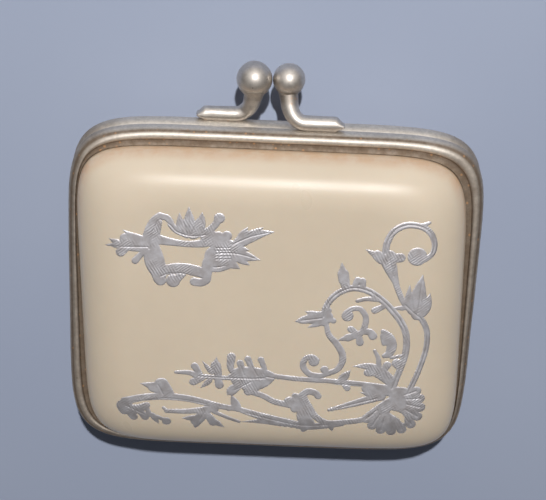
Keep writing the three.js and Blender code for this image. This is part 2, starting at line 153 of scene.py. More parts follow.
def finish_piece(piece, body, material, slot, *nodes):
    piece.data.materials.clear()
    piece.data.materials.append(material)
    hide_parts(*nodes)
    if body:
        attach(piece, body)
    return piece


def arc(centre_x, centre_y, radius, start, end, steps):
    """Points of a circular arc between two angles in degrees."""
    points = []
    for i in range(steps + 1):
        angle = math.radians(start + (end - start) * i / steps)
        points.append((centre_x + radius * math.cos(angle), centre_y + radius * math.sin(angle)))
    return points


def smoothstep(low, high, value):
    share = min(max((value - low) / (high - low), 0.0), 1.0)
    return share * share * (3 - 2 * share)


def lerp(a, b, share):
    return a + (b - a) * share


# ---------- the rounded outline

FRAME_OUTLINE = (FRAME_SQUARENESS, 0.0, 0.0)
BASE_OUTLINE = (COVER_SQUARENESS, 0.0, 0.0)
LID_OUTLINE = (COVER_SQUARENESS, LID_COVER_SKEW, LID_COVER_SHIFT)


def outline_point(angle, inset, outline):
    squareness, skew, shift = outline
    crowded = angle + CORNER_CROWDING * math.sin(4 * angle)
    cosine = math.cos(crowded)
    sine = math.sin(crowded)
    reach = (abs(cosine) ** squareness + abs(sine) ** squareness) ** (-1 / squareness)
    y = (DEPTH / 2 - inset) * sine * reach
    return (WIDTH / 2 - inset) * cosine * reach - skew * y, y + shift


def sweep(name, profile, outline, direction, sharp_degrees=40, closed=False, other=None):
    """Sweeps a profile round the outline.

    A profile point is (inset, height), or (inset, height, share) where share moves it from the
    frame's outline to the other one. An inset of None is the middle. Heights run from the split
    plane up into the lid (direction 1) or down into the base (direction -1).
    """
    verts = []
    rings = []
    for point in profile:
        inset, height = point[0], point[1]
        share = point[2] if len(point) > 2 else 0.0
        z = MID + direction * height
        if inset is None:
            rings.append([len(verts)])
            verts.append((0.0, outline[2], z))
            continue
        ring = []
        for i in range(SIDES):
            angle = 2 * math.pi * i / SIDES
            x, y = outline_point(angle, inset, outline)
            if share:
                other_x, other_y = outline_point(angle, inset, other)
                x, y = lerp(x, other_x, share), lerp(y, other_y, share)
            ring.append(len(verts))
            verts.append((x, y, z))
        rings.append(ring)
    pairs = list(zip(rings, rings[1:]))
    if closed:
        pairs.append((rings[-1], rings[0]))
    return make_object(name, verts, bands(pairs, SIDES), sharp_degrees)


def bands(pairs, count):
    """Faces between pairs of vertex rings. A ring of one vertex is a middle point."""
    faces = []
    for first, second in pairs:
        for i in range(count):
            j = (i + 1) % count
            if len(first) == 1:
                faces.append((first[0], second[i], second[j]))
            elif len(second) == 1:
                faces.append((first[i], first[j], second[0]))
            else:
                faces.append((first[i], first[j], second[j], second[i]))
    return faces


def lathe(name, profile, centre, axis, sides=48, sharp_degrees=40):
    """Turns a profile of (distance along the axis, radius) points. Its ends are on the axis."""
    axis = Vector(axis).normalized()
    across = axis.orthogonal().normalized()
    third = axis.cross(across)
    verts = []
    rings = []
    for along, radius in profile:
        middle = Vector(centre) + axis * along
        if radius < 1e-6:
            rings.append([len(verts)])
            verts.append(tuple(middle))
            continue
        ring = []
        for i in range(sides):
            angle = 2 * math.pi * i / sides
            point = middle + across * (radius * math.cos(angle)) + third * (radius * math.sin(angle))
            ring.append(len(verts))
            verts.append(tuple(point))
        rings.append(ring)
    return make_object(name, verts, bands(zip(rings, rings[1:]), sides), sharp_degrees)


# ---------- materials


class Paint:
    """A Principled material and short ways to add the nodes that feed it."""

    def __init__(self, name, **settings):
        self.material = bpy.data.materials.new(name)
        self.material.use_nodes = True
        self.tree = self.material.node_tree
        self.shader = self.tree.nodes["Principled BSDF"]
        self.place = self.add("ShaderNodeTexCoord").outputs["Object"]
        for socket, value in settings.items():
            self.shader.inputs[socket.replace("_", " ")].default_value = value

    def add(self, kind, **inputs):
        node = self.tree.nodes.new(kind)
        for socket, value in inputs.items():
            self.feed(node.inputs[socket.replace("_", " ")], value)
        return node

    def feed(self, socket, value):
        if isinstance(value, bpy.types.NodeSocket):
            self.tree.links.new(value, socket)
        else:
            socket.default_value = value

    def stretched(self, scale=(1, 1, 1), turn=(0, 0, 0)):
        return self.add("ShaderNodeMapping", Vector=self.place, Scale=scale, Rotation=turn).outputs[0]

    def noise(self, size_mm, detail=3.0, roughness=0.5, distortion=0.0, place=None):
        node = self.add(
            "ShaderNodeTexNoise", Vector=place or self.place, Scale=1 / (size_mm * MM),
            Detail=detail, Roughness=roughness, Distortion=distortion)
        return node.outputs["Fac"]

    def ramp(self, value, *stops):
        """Maps a number through (position, grey or colour) stops."""
        node = self.add("ShaderNodeValToRGB", Fac=value)
        elements = node.color_ramp.elements
        while len(elements) < len(stops):
            elements.new(1.0)
        for element, (position, colour) in zip(elements, stops):
            element.position = position
            if not isinstance(colour, tuple):
                colour = (colour, colour, colour)
            element.color = (*colour, 1.0)
        return node.outputs["Color"]

    def math(self, operation, a, b=0.0):
        node = self.add("ShaderNodeMath")
        node.operation = operation
        node.use_clamp = operation in ("ADD", "MULTIPLY", "SUBTRACT")
        self.feed(node.inputs[0], a)
        self.feed(node.inputs[1], b)
        return node.outputs[0]

    def mix(self, share, a, b, blend="MIX"):
        node = self.add("ShaderNodeMix")
        node.data_type = "RGBA"
        node.blend_type = blend
        self.feed(node.inputs["Factor"], share)
        for socket, value in ((node.inputs[6], a), (node.inputs[7], b)):
            self.feed(socket, (*value, 1.0) if isinstance(value, tuple) else value)
        return node.outputs[2]

    def specks(self, cell_mm, radius, share):
        """Small round spots in some of the cells of a scattered grid."""
        node = self.add("ShaderNodeTexVoronoi", Vector=self.place, Scale=1 / (cell_mm * MM))
        near = self.ramp(node.outputs["Distance"], (radius * 0.5, 1.0), (radius, 0.0))
        pick = self.ramp(node.outputs["Color"], (1 - share, 0.0), (1 - share + 0.02, 1.0))
        return self.math("MULTIPLY", near, pick)

    def attribute(self, name):
        node = self.add("ShaderNodeAttribute")
        node.attribute_name = name
        return node.outputs["Fac"]

    def bump(self, height, distance_mm, strength=1.0, normal=None):
        node = self.add("ShaderNodeBump", Height=height, Distance=distance_mm * MM, Strength=strength)
        if normal is not None:
            self.feed(node.inputs["Normal"], normal)
        return node.outputs["Normal"]

    def use(self, **sockets):
        for socket, value in sockets.items():
            self.feed(self.shader.inputs[socket.replace("_", " ")], value)
        return self.material


def celluloid_material():
    paint = Paint("celluloid", IOR=1.5, Subsurface_Weight=0.12, Subsurface_Scale=0.0012)
    paint.shader.inputs["Subsurface Radius"].default_value = (1.0, 0.6, 0.35)
    cloudy = paint.ramp(paint.noise(26, 1), (0.1, (0.61, 0.52, 0.41)), (0.9, (0.685, 0.59, 0.472)))
    grain = paint.ramp(paint.noise(3.2, 2), (0.1, 0.96), (0.9, 1.0))
    body = paint.mix(1.0, cloudy, grain, "MULTIPLY")
    ragged = paint.ramp(paint.noise(2.6, 5, 0.6), (0.34, 0.35), (0.62, 1.0))
    stain = paint.math("MULTIPLY", paint.attribute("stain"), ragged)
    stained = paint.mix(stain, body, (0.58, 0.36, 0.21))
    # Dirt and painted shade in the crease where the cover's foot meets the rim's ledge, in dark brown.
    grime_and_shade = paint.mix(paint.attribute("grime_and_shade"), stained, (0.20, 0.14, 0.085))
    dots = paint.mix(paint.specks(9, 0.055, 0.4), grime_and_shade, (0.22, 0.12, 0.06))
    gloss = paint.ramp(paint.noise(9, 1), (0.1, 0.26), (0.9, 0.32))
    scratches = paint.noise(0.5, 2, place=paint.stretched((0.06, 1, 1), (0, 0, 0.7)))
    waves = paint.bump(paint.noise(9, 1), 0.05, 0.5)
    surface = paint.bump(scratches, 0.004, 0.5, waves)
    return paint.use(Base_Color=dots, Roughness=gloss, Normal=surface)


def nickel_material(name, bright, dull, roughness):
    """Worn nickel silver. One mark darkens it with dirt in corners and, on the rim's ledge, with
    painted shade; the patina mark is metal nobody polishes.
    """
    paint = Paint(name, Metallic=1.0)
    patches = paint.ramp(paint.noise(5.5, 5, 0.6, 0.6), (0.44, 0.0), (0.74, 1.0))
    worn = paint.mix(paint.math("MULTIPLY", patches, 0.4), bright,
        tuple(0.65 * value for value in bright))
    mottled = paint.ramp(paint.noise(2.2, 5, 0.6), (0.3, 0.62), (0.7, 1.0))
    patina = paint.math("MULTIPLY", paint.attribute("patina"), mottled)
    worn = paint.mix(patina, worn, (0.40, 0.345, 0.295))
    ragged = paint.ramp(paint.noise(1.3, 5, 0.65), (0.30, 0.75), (0.60, 1.0))
    # Dirt and tarnish in corners, and painted shade on the rim's ledge, take the dull colour.
    tarnish_and_shade = paint.math("MULTIPLY", paint.attribute("grime_and_shade"), ragged)
    colour = paint.mix(tarnish_and_shade, worn, dull)
    rust = paint.math("MULTIPLY", paint.specks(0.8, 0.34, 0.34), paint.attribute("grime_and_shade"))
    colour = paint.mix(paint.math("MULTIPLY", rust, 0.8), colour, (0.62, 0.38, 0.21))
    pits = paint.specks(1.3, 0.13, 0.2)
    colour = paint.mix(paint.math("MULTIPLY", pits, 0.7), colour, (0.16, 0.13, 0.10))
    fine = paint.noise(0.5, 3, 0.55)
    spread = paint.math("ADD", paint.math("MULTIPLY", tarnish_and_shade, 0.6), paint.math("MULTIPLY", fine, 0.5))
    spread = paint.math("ADD", spread, paint.math("MULTIPLY", patina, 0.5))
    rough = paint.mix(spread, (roughness[0],) * 3, (roughness[1],) * 3)
    speckle = paint.ramp(paint.noise(0.7, 4, 0.7), (0.36, 0.84), (0.60, 1.0))
    colour = paint.mix(1.0, colour, speckle, "MULTIPLY")
    dents = paint.bump(paint.noise(2.4, 2, 0.5), 0.07, 0.5)
    surface = paint.bump(fine, 0.012, 0.6, dents)
    surface = paint.bump(paint.math("SUBTRACT", 1.0, pits), 0.04, 0.5, surface)
    return paint.use(Base_Color=colour, Roughness=rough, Normal=surface)


def satin_nickel_material():
    paint = Paint("interior_nickel", Metallic=1.0)
    brushed = paint.noise(0.22, 3, place=paint.stretched((0.03, 1, 1)))
    clouds = paint.ramp(paint.noise(8, 4), (0.35, (0.52, 0.49, 0.44)), (0.7, (0.62, 0.59, 0.54)))
    colour = paint.mix(paint.attribute("grime_and_shade"), clouds, (0.28, 0.22, 0.16))
    rough = paint.ramp(brushed, (0.3, 0.22), (0.7, 0.4))
    return paint.use(Base_Color=colour, Roughness=rough, Normal=paint.bump(brushed, 0.006, 0.7))


def silver_material():
    paint = Paint("silver_inlay", Metallic=1.0)
    worn = paint.ramp(paint.noise(1.8, 5, 0.6), (0.36, (0.64, 0.61, 0.63)), (0.62, (0.80, 0.79, 0.84)))
    hatch = paint.add("ShaderNodeTexWave", Vector=paint.stretched(turn=(0, 0, 0.9)), Scale=800.0,
        Distortion=2.5)
    cross = paint.add("ShaderNodeTexWave", Vector=paint.stretched(turn=(0, 0, -0.5)), Scale=690.0,
        Distortion=3.0)
    lines = paint.mix(paint.ramp(paint.noise(3.0, 2), (0.45, 0.0), (0.55, 1.0)),
                      hatch.outputs["Fac"], cross.outputs["Fac"])
    where = paint.ramp(paint.noise(4.0, 3), (0.46, 0.0), (0.6, 1.0))
    lines = paint.math("MULTIPLY", lines, where)
    rough = paint.ramp(paint.noise(0.8, 4), (0.3, 0.34), (0.7, 0.48))
    surface = paint.bump(paint.noise(1.6, 4, 0.6), 0.03, 0.5)
    surface = paint.bump(lines, 0.03, 0.8, surface)
    return paint.use(Base_Color=worn, Roughness=rough, Normal=surface)


def mirror_material():
    paint = Paint("mirror_glass", Metallic=1.0)
    spots = paint.math("MULTIPLY", paint.specks(2.6, 0.22, 0.25), paint.attribute("edge"))
    haze = paint.math("MULTIPLY", paint.attribute("edge"),
        paint.ramp(paint.noise(2.2, 5), (0.45, 0.0), (0.7, 0.6)))
    wear = paint.math("ADD", spots, haze)
    colour = paint.mix(wear, (0.66, 0.69, 0.70), (0.28, 0.24, 0.19))
    rough = paint.mix(wear, (0.02,) * 3, (0.4,) * 3)
    return paint.use(Base_Color=colour, Roughness=rough)


def card_material():
    paint = Paint("card", Roughness=0.92)
    fibres = paint.noise(0.5, 4, place=paint.stretched((0.2, 1, 1)))
    colour = paint.ramp(fibres, (0.3, (0.22, 0.15, 0.10)), (0.7, (0.34, 0.25, 0.18)))
    return paint.use(Base_Color=colour, Normal=paint.bump(fibres, 0.03, 0.6))


def powder_material():
    paint = Paint("face_powder", Roughness=1.0, Sheen_Weight=0.15)
    grain = paint.noise(0.18, 5, 0.7)
    patches = paint.ramp(paint.noise(5, 4), (0.35, (0.66, 0.39, 0.28)), (0.65, (0.76, 0.49, 0.37)))
    colour = paint.mix(0.5, patches, paint.ramp(grain, (0.3, 0.8), (0.7, 1.0)), "MULTIPLY")
    return paint.use(Base_Color=colour, Normal=paint.bump(grain, 0.04, 0.8))


def velour_material():
    paint = Paint("velour", Roughness=0.95, Sheen_Weight=0.9, Sheen_Roughness=0.35)
    paint.shader.inputs["Sheen Tint"].default_value = (1.0, 0.93, 0.88, 1.0)
    pile = paint.noise(0.16, 3, 0.6)
    brushed = paint.ramp(paint.noise(5, 2, 0.5), (0.2, (0.74, 0.60, 0.52)), (0.8, (0.82, 0.69, 0.61)))
    dusted = paint.mix(paint.ramp(paint.noise(3, 5), (0.5, 0.0), (0.75, 0.25)), brushed,
        (0.80, 0.56, 0.44))
    colour = paint.mix(0.5, dusted, paint.ramp(pile, (0.3, 0.78), (0.65, 1.0)), "MULTIPLY")
    return paint.use(Base_Color=colour, Normal=paint.bump(pile, 0.05, 0.6))


def satin_material():
    paint = Paint("satin_ribbon", Roughness=0.36, Sheen_Weight=0.35, Sheen_Roughness=0.3)
    threads = paint.add("ShaderNodeTexWave", Vector=paint.place, Scale=1400.0, Distortion=0.6)
    threads.bands_direction = "Y"
    woven = paint.ramp(threads.outputs["Fac"], (0.2, 0.7), (0.7, 1.0))
    colour = paint.mix(0.3, (0.57, 0.24, 0.255), woven, "MULTIPLY")
    colour = paint.mix(paint.attribute("edge"), colour, (0.36, 0.11, 0.125))
    return paint.use(Base_Color=colour, Normal=paint.bump(threads.outputs["Fac"], 0.02, 0.6))


def floor_material():
    paint = Paint("pale_floor", Roughness=0.55, IOR=1.4)
    soft = paint.ramp(paint.noise(60, 2), (0.3, (0.33, 0.38, 0.51)), (0.7, (0.35, 0.40, 0.525)))
    return paint.use(Base_Color=soft)


CELLULOID = celluloid_material()
NICKEL = nickel_material("nickel_silver", (0.70, 0.655, 0.61), (0.25, 0.20, 0.155), (0.36, 0.58))
# On the rim the dull brown is tarnish and painted shade on the ledge under the cover's edge.
RIM_NICKEL = nickel_material("rim_nickel", (0.79, 0.735, 0.665), (0.28, 0.215, 0.16), (0.50, 0.68))
HINGE_METAL = nickel_material("hinge_metal", (0.66, 0.60, 0.52), (0.26, 0.19, 0.13), (0.36, 0.5))
INTERIOR_NICKEL = satin_nickel_material()
SILVER = silver_material()
MIRROR = mirror_material()
CARD = card_material()
POWDER = powder_material()
VELOUR = velour_material()
SATIN = satin_material()
FLOOR = floor_material()

# ---------- covers


def dome_height(depth):
    """Height of a cover above the split plane, at a depth in from the cover's own edge."""
    rise = COVER_HEIGHT - RIM_HEIGHT
    share = min(max(depth / SHOULDER_WIDTH, 0.0), 1.0)
    return RIM_HEIGHT + rise * math.sqrt(max(1 - (1 - share) ** 2, 0.0))


def cover_depth(x, y, outline):
    """How far a point is in from the cover's edge, measured across the outline's rings."""
    squareness, skew, shift = outline
    flat_y = y - shift
    flat_x = x + skew * flat_y
    low, high = 0.0, DEPTH / 2 - 0.01
    for _ in range(30):
        inset = (low + high) / 2
        reach_x = abs(flat_x) / (WIDTH / 2 - inset)
        reach_y = abs(flat_y) / (DEPTH / 2 - inset)
        if reach_x ** squareness + reach_y ** squareness < 1:
            low = inset
        else:
            high = inset
    return low - COVER_INSET


def cover_profile():
    edge_fillet = 0.3
    outer = COVER_INSET + 0.03
    inner = COVER_INSET + COVER_WALL
    skirt_end = FLANGE_TOP + 0.06
    profile = [(None, COVER_HEIGHT)]
    for inset in (28.5, 24.0, 19.0, 15.0, 12.5):
        profile.append((inset, COVER_HEIGHT))
    steps = 26
    for i in range(steps, -1, -1):
        angle = math.pi / 2 * i / steps
        depth = SHOULDER_WIDTH * (1 - math.cos(angle))
        inset = COVER_INSET + depth
        if inset < outer:
            inset = outer
        profile.append((inset, dome_height(depth) if i else RIM_HEIGHT + 0.1))
    profile.append((outer + 0.04, RIM_HEIGHT - edge_fillet))
    profile.append((outer, skirt_end))
    profile.append((inner, skirt_end))
    for i in range(10):
        angle = math.pi / 2 * i / 9
        depth = (SHOULDER_WIDTH - COVER_WALL) * (1 - math.cos(angle))
        rise = COVER_HEIGHT - RIM_HEIGHT - COVER_WALL
        profile.append((inner + depth, RIM_HEIGHT + rise * math.sin(angle)))
    profile.append((None, COVER_HEIGHT - COVER_WALL))
    return profile


def make_cover(half, direction, outline):
    piece = sweep(f"{half}_cover_shell", cover_profile(), outline, direction, 50)

    def stain(x, y, z):
        depth = cover_depth(x, y, outline)
        along = 1.0 - smoothstep(0.1, 1.7, depth)
        clasp_side = smoothstep(8, 24, -y)
        return along * lerp(0.10, 0.75, clasp_side)

    # The cover's foot, below the top of the rim, is darkened with dirt and painted shade in the crease
    # against the ledge.
    def grime_and_shade(x, y, z):
        height = direction * (z - MID) - RIM_HEIGHT
        return 0.3 * (1.0 - smoothstep(-0.2, 0.2, height))

    mark(piece, "stain", stain)
    mark(piece, "grime_and_shade", grime_and_shade)
    return finish_piece(piece, half, CELLULOID, "celluloid", f"{half}_cover")


# ---------- rims


BEAD_TOP = 1.17           # where the bead's round wall ends, in from the outline
LEDGE_END = 2.37
BEAD_SWELL = {"base": 0.25, "lid": 0.0}


def rim_profile(half):
    half_angle = math.degrees(math.asin((RIM_HEIGHT - SPLIT_GAP) / 2 / BEAD_RADIUS))
    bead = arc(BEAD_RADIUS, BEAD_HEIGHT, BEAD_RADIUS, 180 + half_angle, 180 - half_angle, 18)
    bead = [(inset - BEAD_SWELL[half], height) for inset, height in bead]
    profile = [(FLANGE_INSET, SPLIT_GAP + 0.12), (FLANGE_INSET - 0.12, SPLIT_GAP), (1.5, SPLIT_GAP)]
    profile += bead
    # The bead's flat top and the ledge the cover sits against. The further in, the more they
    # follow the cover, which sits a little askew.
    for share, height in ((0.12, 4.02), (0.30, 3.98), (0.40, 3.86), (0.46, 3.70), (0.50, 3.60),
                          (0.65, 3.56), (0.85, 3.58), (1.0, 3.64)):
        profile.append((lerp(BEAD_TOP, LEDGE_END, share), height, share))
    profile += [
        (COVER_INSET, 3.5, 1.0), (COVER_INSET, 1.5, 1.0), (COVER_INSET + 0.05, FLANGE_TOP, 0.6),
        (FLANGE_INSET - 0.1, FLANGE_TOP), (FLANGE_INSET, 1.2),
    ]
    return profile


def make_rim(half, direction, outline):
    profile = rim_profile(half)
    piece = sweep(f"{half}_rolled_rim", profile, FRAME_OUTLINE, direction, 40, True, outline)
    notch = lathe(
        "notch", [(-NOTCH_HALF_LENGTH, 0.0), (-NOTCH_HALF_LENGTH, NOTCH_RADIUS),
                  (NOTCH_HALF_LENGTH, NOTCH_RADIUS), (NOTCH_HALF_LENGTH, 0.0)],
        (0, HINGE_Y, MID), (1, 0, 0))
    cut_away(piece, notch)
    dent_metal(piece, 0.045, 0.16)

    # The ledge next to the cover is darkened with tarnish and painted shade of the crevice under the
    # cover's edge; the seam is the dark joint between the two rims.
    def grime_and_shade(x, y, z):
        height = direction * (z - MID)
        own_depth = cover_depth(x, y, FRAME_OUTLINE) + COVER_INSET
        to_cover = -cover_depth(x, y, outline)
        ledge = smoothstep(3.90, 3.72, height) * smoothstep(3.2, 3.4, height)
        ledge = max(ledge, (1 - smoothstep(0.1, 0.5, to_cover)) * smoothstep(3.2, 3.4, height))
        seam = (1 - smoothstep(0.05, 0.4, height)) * smoothstep(0.4, 0.9, own_depth)
        seam *= 1 - 0.75 * smoothstep(1.5, 2.3, own_depth)
        return min(ledge + seam, 1.0)

    mark(piece, "grime_and_shade", grime_and_shade)

    def patina(x, y, z):
        outside = 1 - smoothstep(2.6, 3.2, cover_depth(x, y, FRAME_OUTLINE) + COVER_INSET)
        raised = smoothstep(0.1, 0.5, direction * (z - MID))
        return outside * raised * max(smoothstep(24, 33, abs(x)), smoothstep(-24, 0, y))

    mark(piece, "patina", patina)
    return finish_piece(piece, half, RIM_NICKEL, "nickel_silver", f"{half}_rim")


# Without a seed of its own, this noise is different in every run of Blender.
DENT_SEED = 5
noise.seed_set(DENT_SEED)


def dent_metal(piece, depth_mm, per_mm):
    """Moves each vertex a little by smooth noise, as hand-rolled and knocked metal is."""
    for vertex in piece.data.vertices:
        place = vertex.co / MM
        push = noise.noise_vector(place * per_mm)
        vertex.co += Vector(push) * (depth_mm * MM)


# ---------- hinge


def make_hinge():
    pitch = 4.0
    for number in range(1, 6):
        body = "base" if number % 2 else "lid"
        direction = -1 if number % 2 else 1
        middle = -12 + pitch * number
        half = (pitch - 0.1) / 2
        soft = 0.12
        profile = [
            (-half, BORE_RADIUS), (-half, KNUCKLE_RADIUS - soft), (-half + soft, KNUCKLE_RADIUS),
            (half - soft, KNUCKLE_RADIUS), (half, KNUCKLE_RADIUS - soft), (half, BORE_RADIUS),
            (-half, BORE_RADIUS),
        ]
        barrel = lathe(f"knuckle_{number}", profile, (middle, HINGE_Y, MID), (1, 0, 0), 40)
        leaf_low, leaf_high = SPLIT_GAP + 0.02, 0.78
        low = MID + direction * leaf_low
        high = MID + direction * leaf_high
        leaf_end = HINGE_Y - 4.8
        leaf_start = HINGE_Y - 0.95
        plan = ((-1, leaf_end), (1, leaf_end), (1, leaf_start), (-1, leaf_start))
        corners = [(middle + side * (half - 0.12), y, z) for z in (low, high) for side, y in plan]
        faces = [(0, 1, 2, 3), (4, 5, 6, 7), (0, 1, 5, 4), (1, 2, 6, 5), (2, 3, 7, 6), (3, 0, 4, 7)]
        leaf = make_object(f"leaf_{number}", corners, faces, 30)
        join([barrel, leaf])
        mark(barrel, "grime_and_shade", lambda x, y, z: 0.35)
        finish_piece(barrel, body, HINGE_METAL, "hinge_metal", f"hinge_knuckle_{number}")
    make_pin()


def make_pin():
    low, high = box_mm("hinge_pin")
    half = (high.x - low.x) / 2
    head = 0.9
    profile = [
        (-half, 0.0), (-half + 0.02, head * 0.55), (-half + 0.16, head * 0.9), (-half + 0.45, head),
        (-half + 0.45, 0.5), (half - 0.45, 0.5), (half - 0.45, head), (half - 0.16, head * 0.9),
        (half - 0.02, head * 0.55), (half, 0.0),
    ]
    pin = lathe("hinge_pin_steel", profile, (0, HINGE_Y, MID), (1, 0, 0), 32)
    mark(pin, "grime_and_shade", lambda x, y, z: 0.2)
    finish_piece(pin, "base", HINGE_METAL, "hinge_metal", "hinge_pin")


def join(pieces):
    """Joins objects into the first one."""
    with bpy.context.temp_override(
            active_object=pieces[0], object=pieces[0],
            selected_objects=pieces, selected_editable_objects=pieces):
        bpy.ops.object.join()


# ---------- clasp

CLASP_X = 1.6
WIRE_RADIUS = 1.3
ROUND_END_RADIUS = WIRE_RADIUS - 0.015
BALL_SWELL = {"base": 1.05, "lid": 0.955}


def make_clasp(half, direction):
    ball_low, ball_high = box_mm(f"{half}_clasp_ball")
    centre = (ball_low + ball_high) / 2
    radius = (ball_high.y - ball_low.y) / 2
    side = -direction
    make_ball(half, centre, radius * BALL_SWELL[half])
    make_arm(half, side, MID + direction * BEAD_HEIGHT, centre, radius)


def make_ball(half, centre, radius):
    """A ball whose neck is a spun cup with a low step where the cup's lip ends."""
    lip = math.radians(-36)
    cup = radius + 0.05
    profile = [(radius * math.sin(math.radians(a)), radius * math.cos(math.radians(a)))
               for a in range(90, -36, -5)]
    profile += [(radius * math.sin(lip), radius * math.cos(lip)),
                (cup * math.sin(lip) - 0.02, cup * math.cos(lip))]
    profile += [(cup * math.sin(math.radians(a)), cup * math.cos(math.radians(a)))
                for a in (-40, -44, -48, -52)]
    neck = cup * math.sin(math.radians(-52))
    profile += [(neck - 0.35, 1.62), (neck - 0.75, 1.48), (neck - 1.0, 1.45), (neck - 1.0, 0.0)]
    ball = lathe(f"{half}_ball", profile, centre, (0, -1, 0), 56, 55)
    dent_metal(ball, 0.05, 0.35)

    def grime_and_shade(x, y, z):
        below = (y - centre.y) / radius
        return 0.05 + 0.45 * smoothstep(0.5, 0.62, below)

    mark(ball, "grime_and_shade", grime_and_shade)
    finish_piece(ball, f"{half}_knob", NICKEL, "nickel_silver", f"{half}_clasp_ball")


def make_arm(half, side, foot_z, centre, ball_radius):
    """The bent wire from the chiselled tip of its foot, along the bead, up to the ball.

    It is two pieces that meet at the spring's bend, where the knob flexes: the foot stays on
    the frame, and the stalk carries the ball.
    """
    foot_y = CREST_Y - 1.12
    neck_y = centre.y + ball_radius
    bend = joint_place(f"{half}_knob_flex")
    route = [
        (CLASP_X + side * 12.3, foot_y + 0.18, foot_z),
        (CLASP_X + side * 10.4, foot_y, foot_z),
        (CLASP_X + side * 7.2, foot_y, foot_z),
        (CLASP_X + side * 5.2, foot_y - 0.12, foot_z),
        (CLASP_X + side * 3.95, foot_y - 0.95, lerp(foot_z, centre.z, 0.1)),
        (CLASP_X + side * 3.25, foot_y - 2.2, lerp(foot_z, centre.z, 0.45)),
        (centre.x + side * 0.05, neck_y - 0.25, lerp(foot_z, centre.z, 0.95)),
    ]
    steps = 72
    path = smooth_path(route, steps)
    split = min(range(steps + 1), key=lambda i: (path[i][0].xy - bend.xy).length)
    rings = []
    for i, (point, tangent) in enumerate(path):
        along = i / steps
        pinch = 1 - smoothstep(0.0, 0.13, along)
        flatness = lerp(1.0, 0.34, pinch)
        width = lerp(1.0, 0.92, pinch)
        taper = lerp(1.0, 1.18, smoothstep(0.62, 1.0, along))
        if i == 0:
            flatness, width = flatness * 0.7, width * 0.85
        rings.append((point, tangent, WIRE_RADIUS * taper * flatness, WIRE_RADIUS * taper * width))
    # A round end on the foot fills the bend from inside, so that it stays closed as it flexes.
    point, tangent = path[split]
    foot_rings = rings[:split + 1]
    for degrees in (8, 25, 42, 59, 76, 88):
        reach = ROUND_END_RADIUS * math.sin(math.radians(degrees))
        radius = ROUND_END_RADIUS * math.cos(math.radians(degrees))
        foot_rings.append((point + tangent * reach, tangent, radius, radius))

    def grime_and_shade(x, y, z):
        near_neck = 1 - smoothstep(neck_y + 0.1, neck_y + 1.6, y)
        near_rim = smoothstep(CREST_Y - 0.6, CREST_Y - 0.1, y)
        return min(0.05 + 0.6 * near_neck + 0.5 * near_rim, 1.0)

    for part, body, part_rings in (
            ("foot", half, foot_rings), ("stalk", f"{half}_knob", rings[split:])):
        wire = make_wire(f"{half}_{part}", part_rings)
        mark(wire, "grime_and_shade", grime_and_shade)
        finish_piece(wire, body, NICKEL, "nickel_silver", f"{half}_clasp_{part}")


def joint_place(name):
    joints = frame["record"]["behaviour"]["joints"]
    return Vector(next(joint["pos_m"] for joint in joints if joint["name"] == name)) / MM


def make_wire(name, rings):
    """A tube through (centre, tangent, half height, half width) rings, with closed ends."""
    sides = 28
    verts = []
    for point, tangent, flat, wide in rings:
        across = tangent.cross(Vector((0, 0, 1))).normalized()
        third = tangent.cross(across).normalized()
        for k in range(sides):
            angle = 2 * math.pi * k / sides
            offset = across * (flat * math.cos(angle)) + third * (wide * math.sin(angle))
            verts.append(tuple(point + offset))
    last = (len(rings) - 1) * sides
    faces = [tuple(range(sides)), tuple(range(last, last + sides))]
    for i in range(len(rings) - 1):
        for k in range(sides):
            a = i * sides + k
            b = i * sides + (k + 1) % sides
            faces.append((a, b, b + sides, a + sides))
    wire = make_object(name, verts, faces, 50)
    dent_metal(wire, 0.05, 0.5)
    return wire


def smooth_path(points, steps):
    """Evenly spaced (point, tangent) pairs on a Catmull-Rom curve through the points."""
    knots = [Vector(p) for p in points]
    padded = [2 * knots[0] - knots[1], *knots, 2 * knots[-1] - knots[-2]]
    dense = []
    for i in range(len(knots) - 1):
        a, b, c, d = padded[i:i + 4]
        for j in range(24):
            t = j / 24
            dense.append(0.5 * (2 * b + (c - a) * t + (2 * a - 5 * b + 4 * c - d) * t * t
                                + (3 * b - a - 3 * c + d) * t ** 3))
    dense.append(knots[-1])
    lengths = [0.0]
    for first, second in zip(dense, dense[1:]):
        lengths.append(lengths[-1] + (second - first).length)
    result = []
    place = 0
    for i in range(steps + 1):
        target = lengths[-1] * i / steps
        while place < len(lengths) - 2 and lengths[place + 1] < target:
            place += 1
        share = (target - lengths[place]) / (lengths[place + 1] - lengths[place])
        tangent = (dense[place + 1] - dense[place]).normalized()
        result.append((dense[place].lerp(dense[place + 1], share), tangent))
    return result


# ---------- silver inlay

# Ornament is drawn on the lid as seen from outside with the clasp at the top: s to the right
# and t up, in millimetres. s is -X and t is -Y.


def curve_points(points, count):
    path = smooth_path([(s, t, 0) for s, t in points], count)
    return [(p.x, p.y) for p, _ in path]


def stroke(points, start, end, middle=None):
    """A curved line of changing width."""
    count = max(10, 7 * len(points))
    marks = []
    for i, (s, t) in enumerate(curve_points(points, count)):
        along = i / count
        width = lerp(start, end, along)
        if middle is not None:
            width += (middle - (start + end) / 2) * math.sin(math.pi * along)
        marks.append((s, t, width / 2))
    return marks


def leaf(root, tip, width, bend=0.0):
    """A pointed leaf, widest a third of the way along, that may bend to its left."""
    root_v, tip_v = Vector(root), Vector(tip)
    along_v = tip_v - root_v
    side_v = Vector((-along_v.y, along_v.x)) * bend
    count = 10
    marks = []
    for i in range(count + 1):
        along = i / count
        middle = root_v + along_v * along + side_v * math.sin(math.pi * along)
        spread = math.sin(math.pi * along ** 0.62) ** 0.9 * width / 2
        marks.append((middle.x, middle.y, max(spread, 0.07)))
    return marks


def disc(s, t, radius):
    return [(s, t, radius), (s + 0.01, t, radius)]


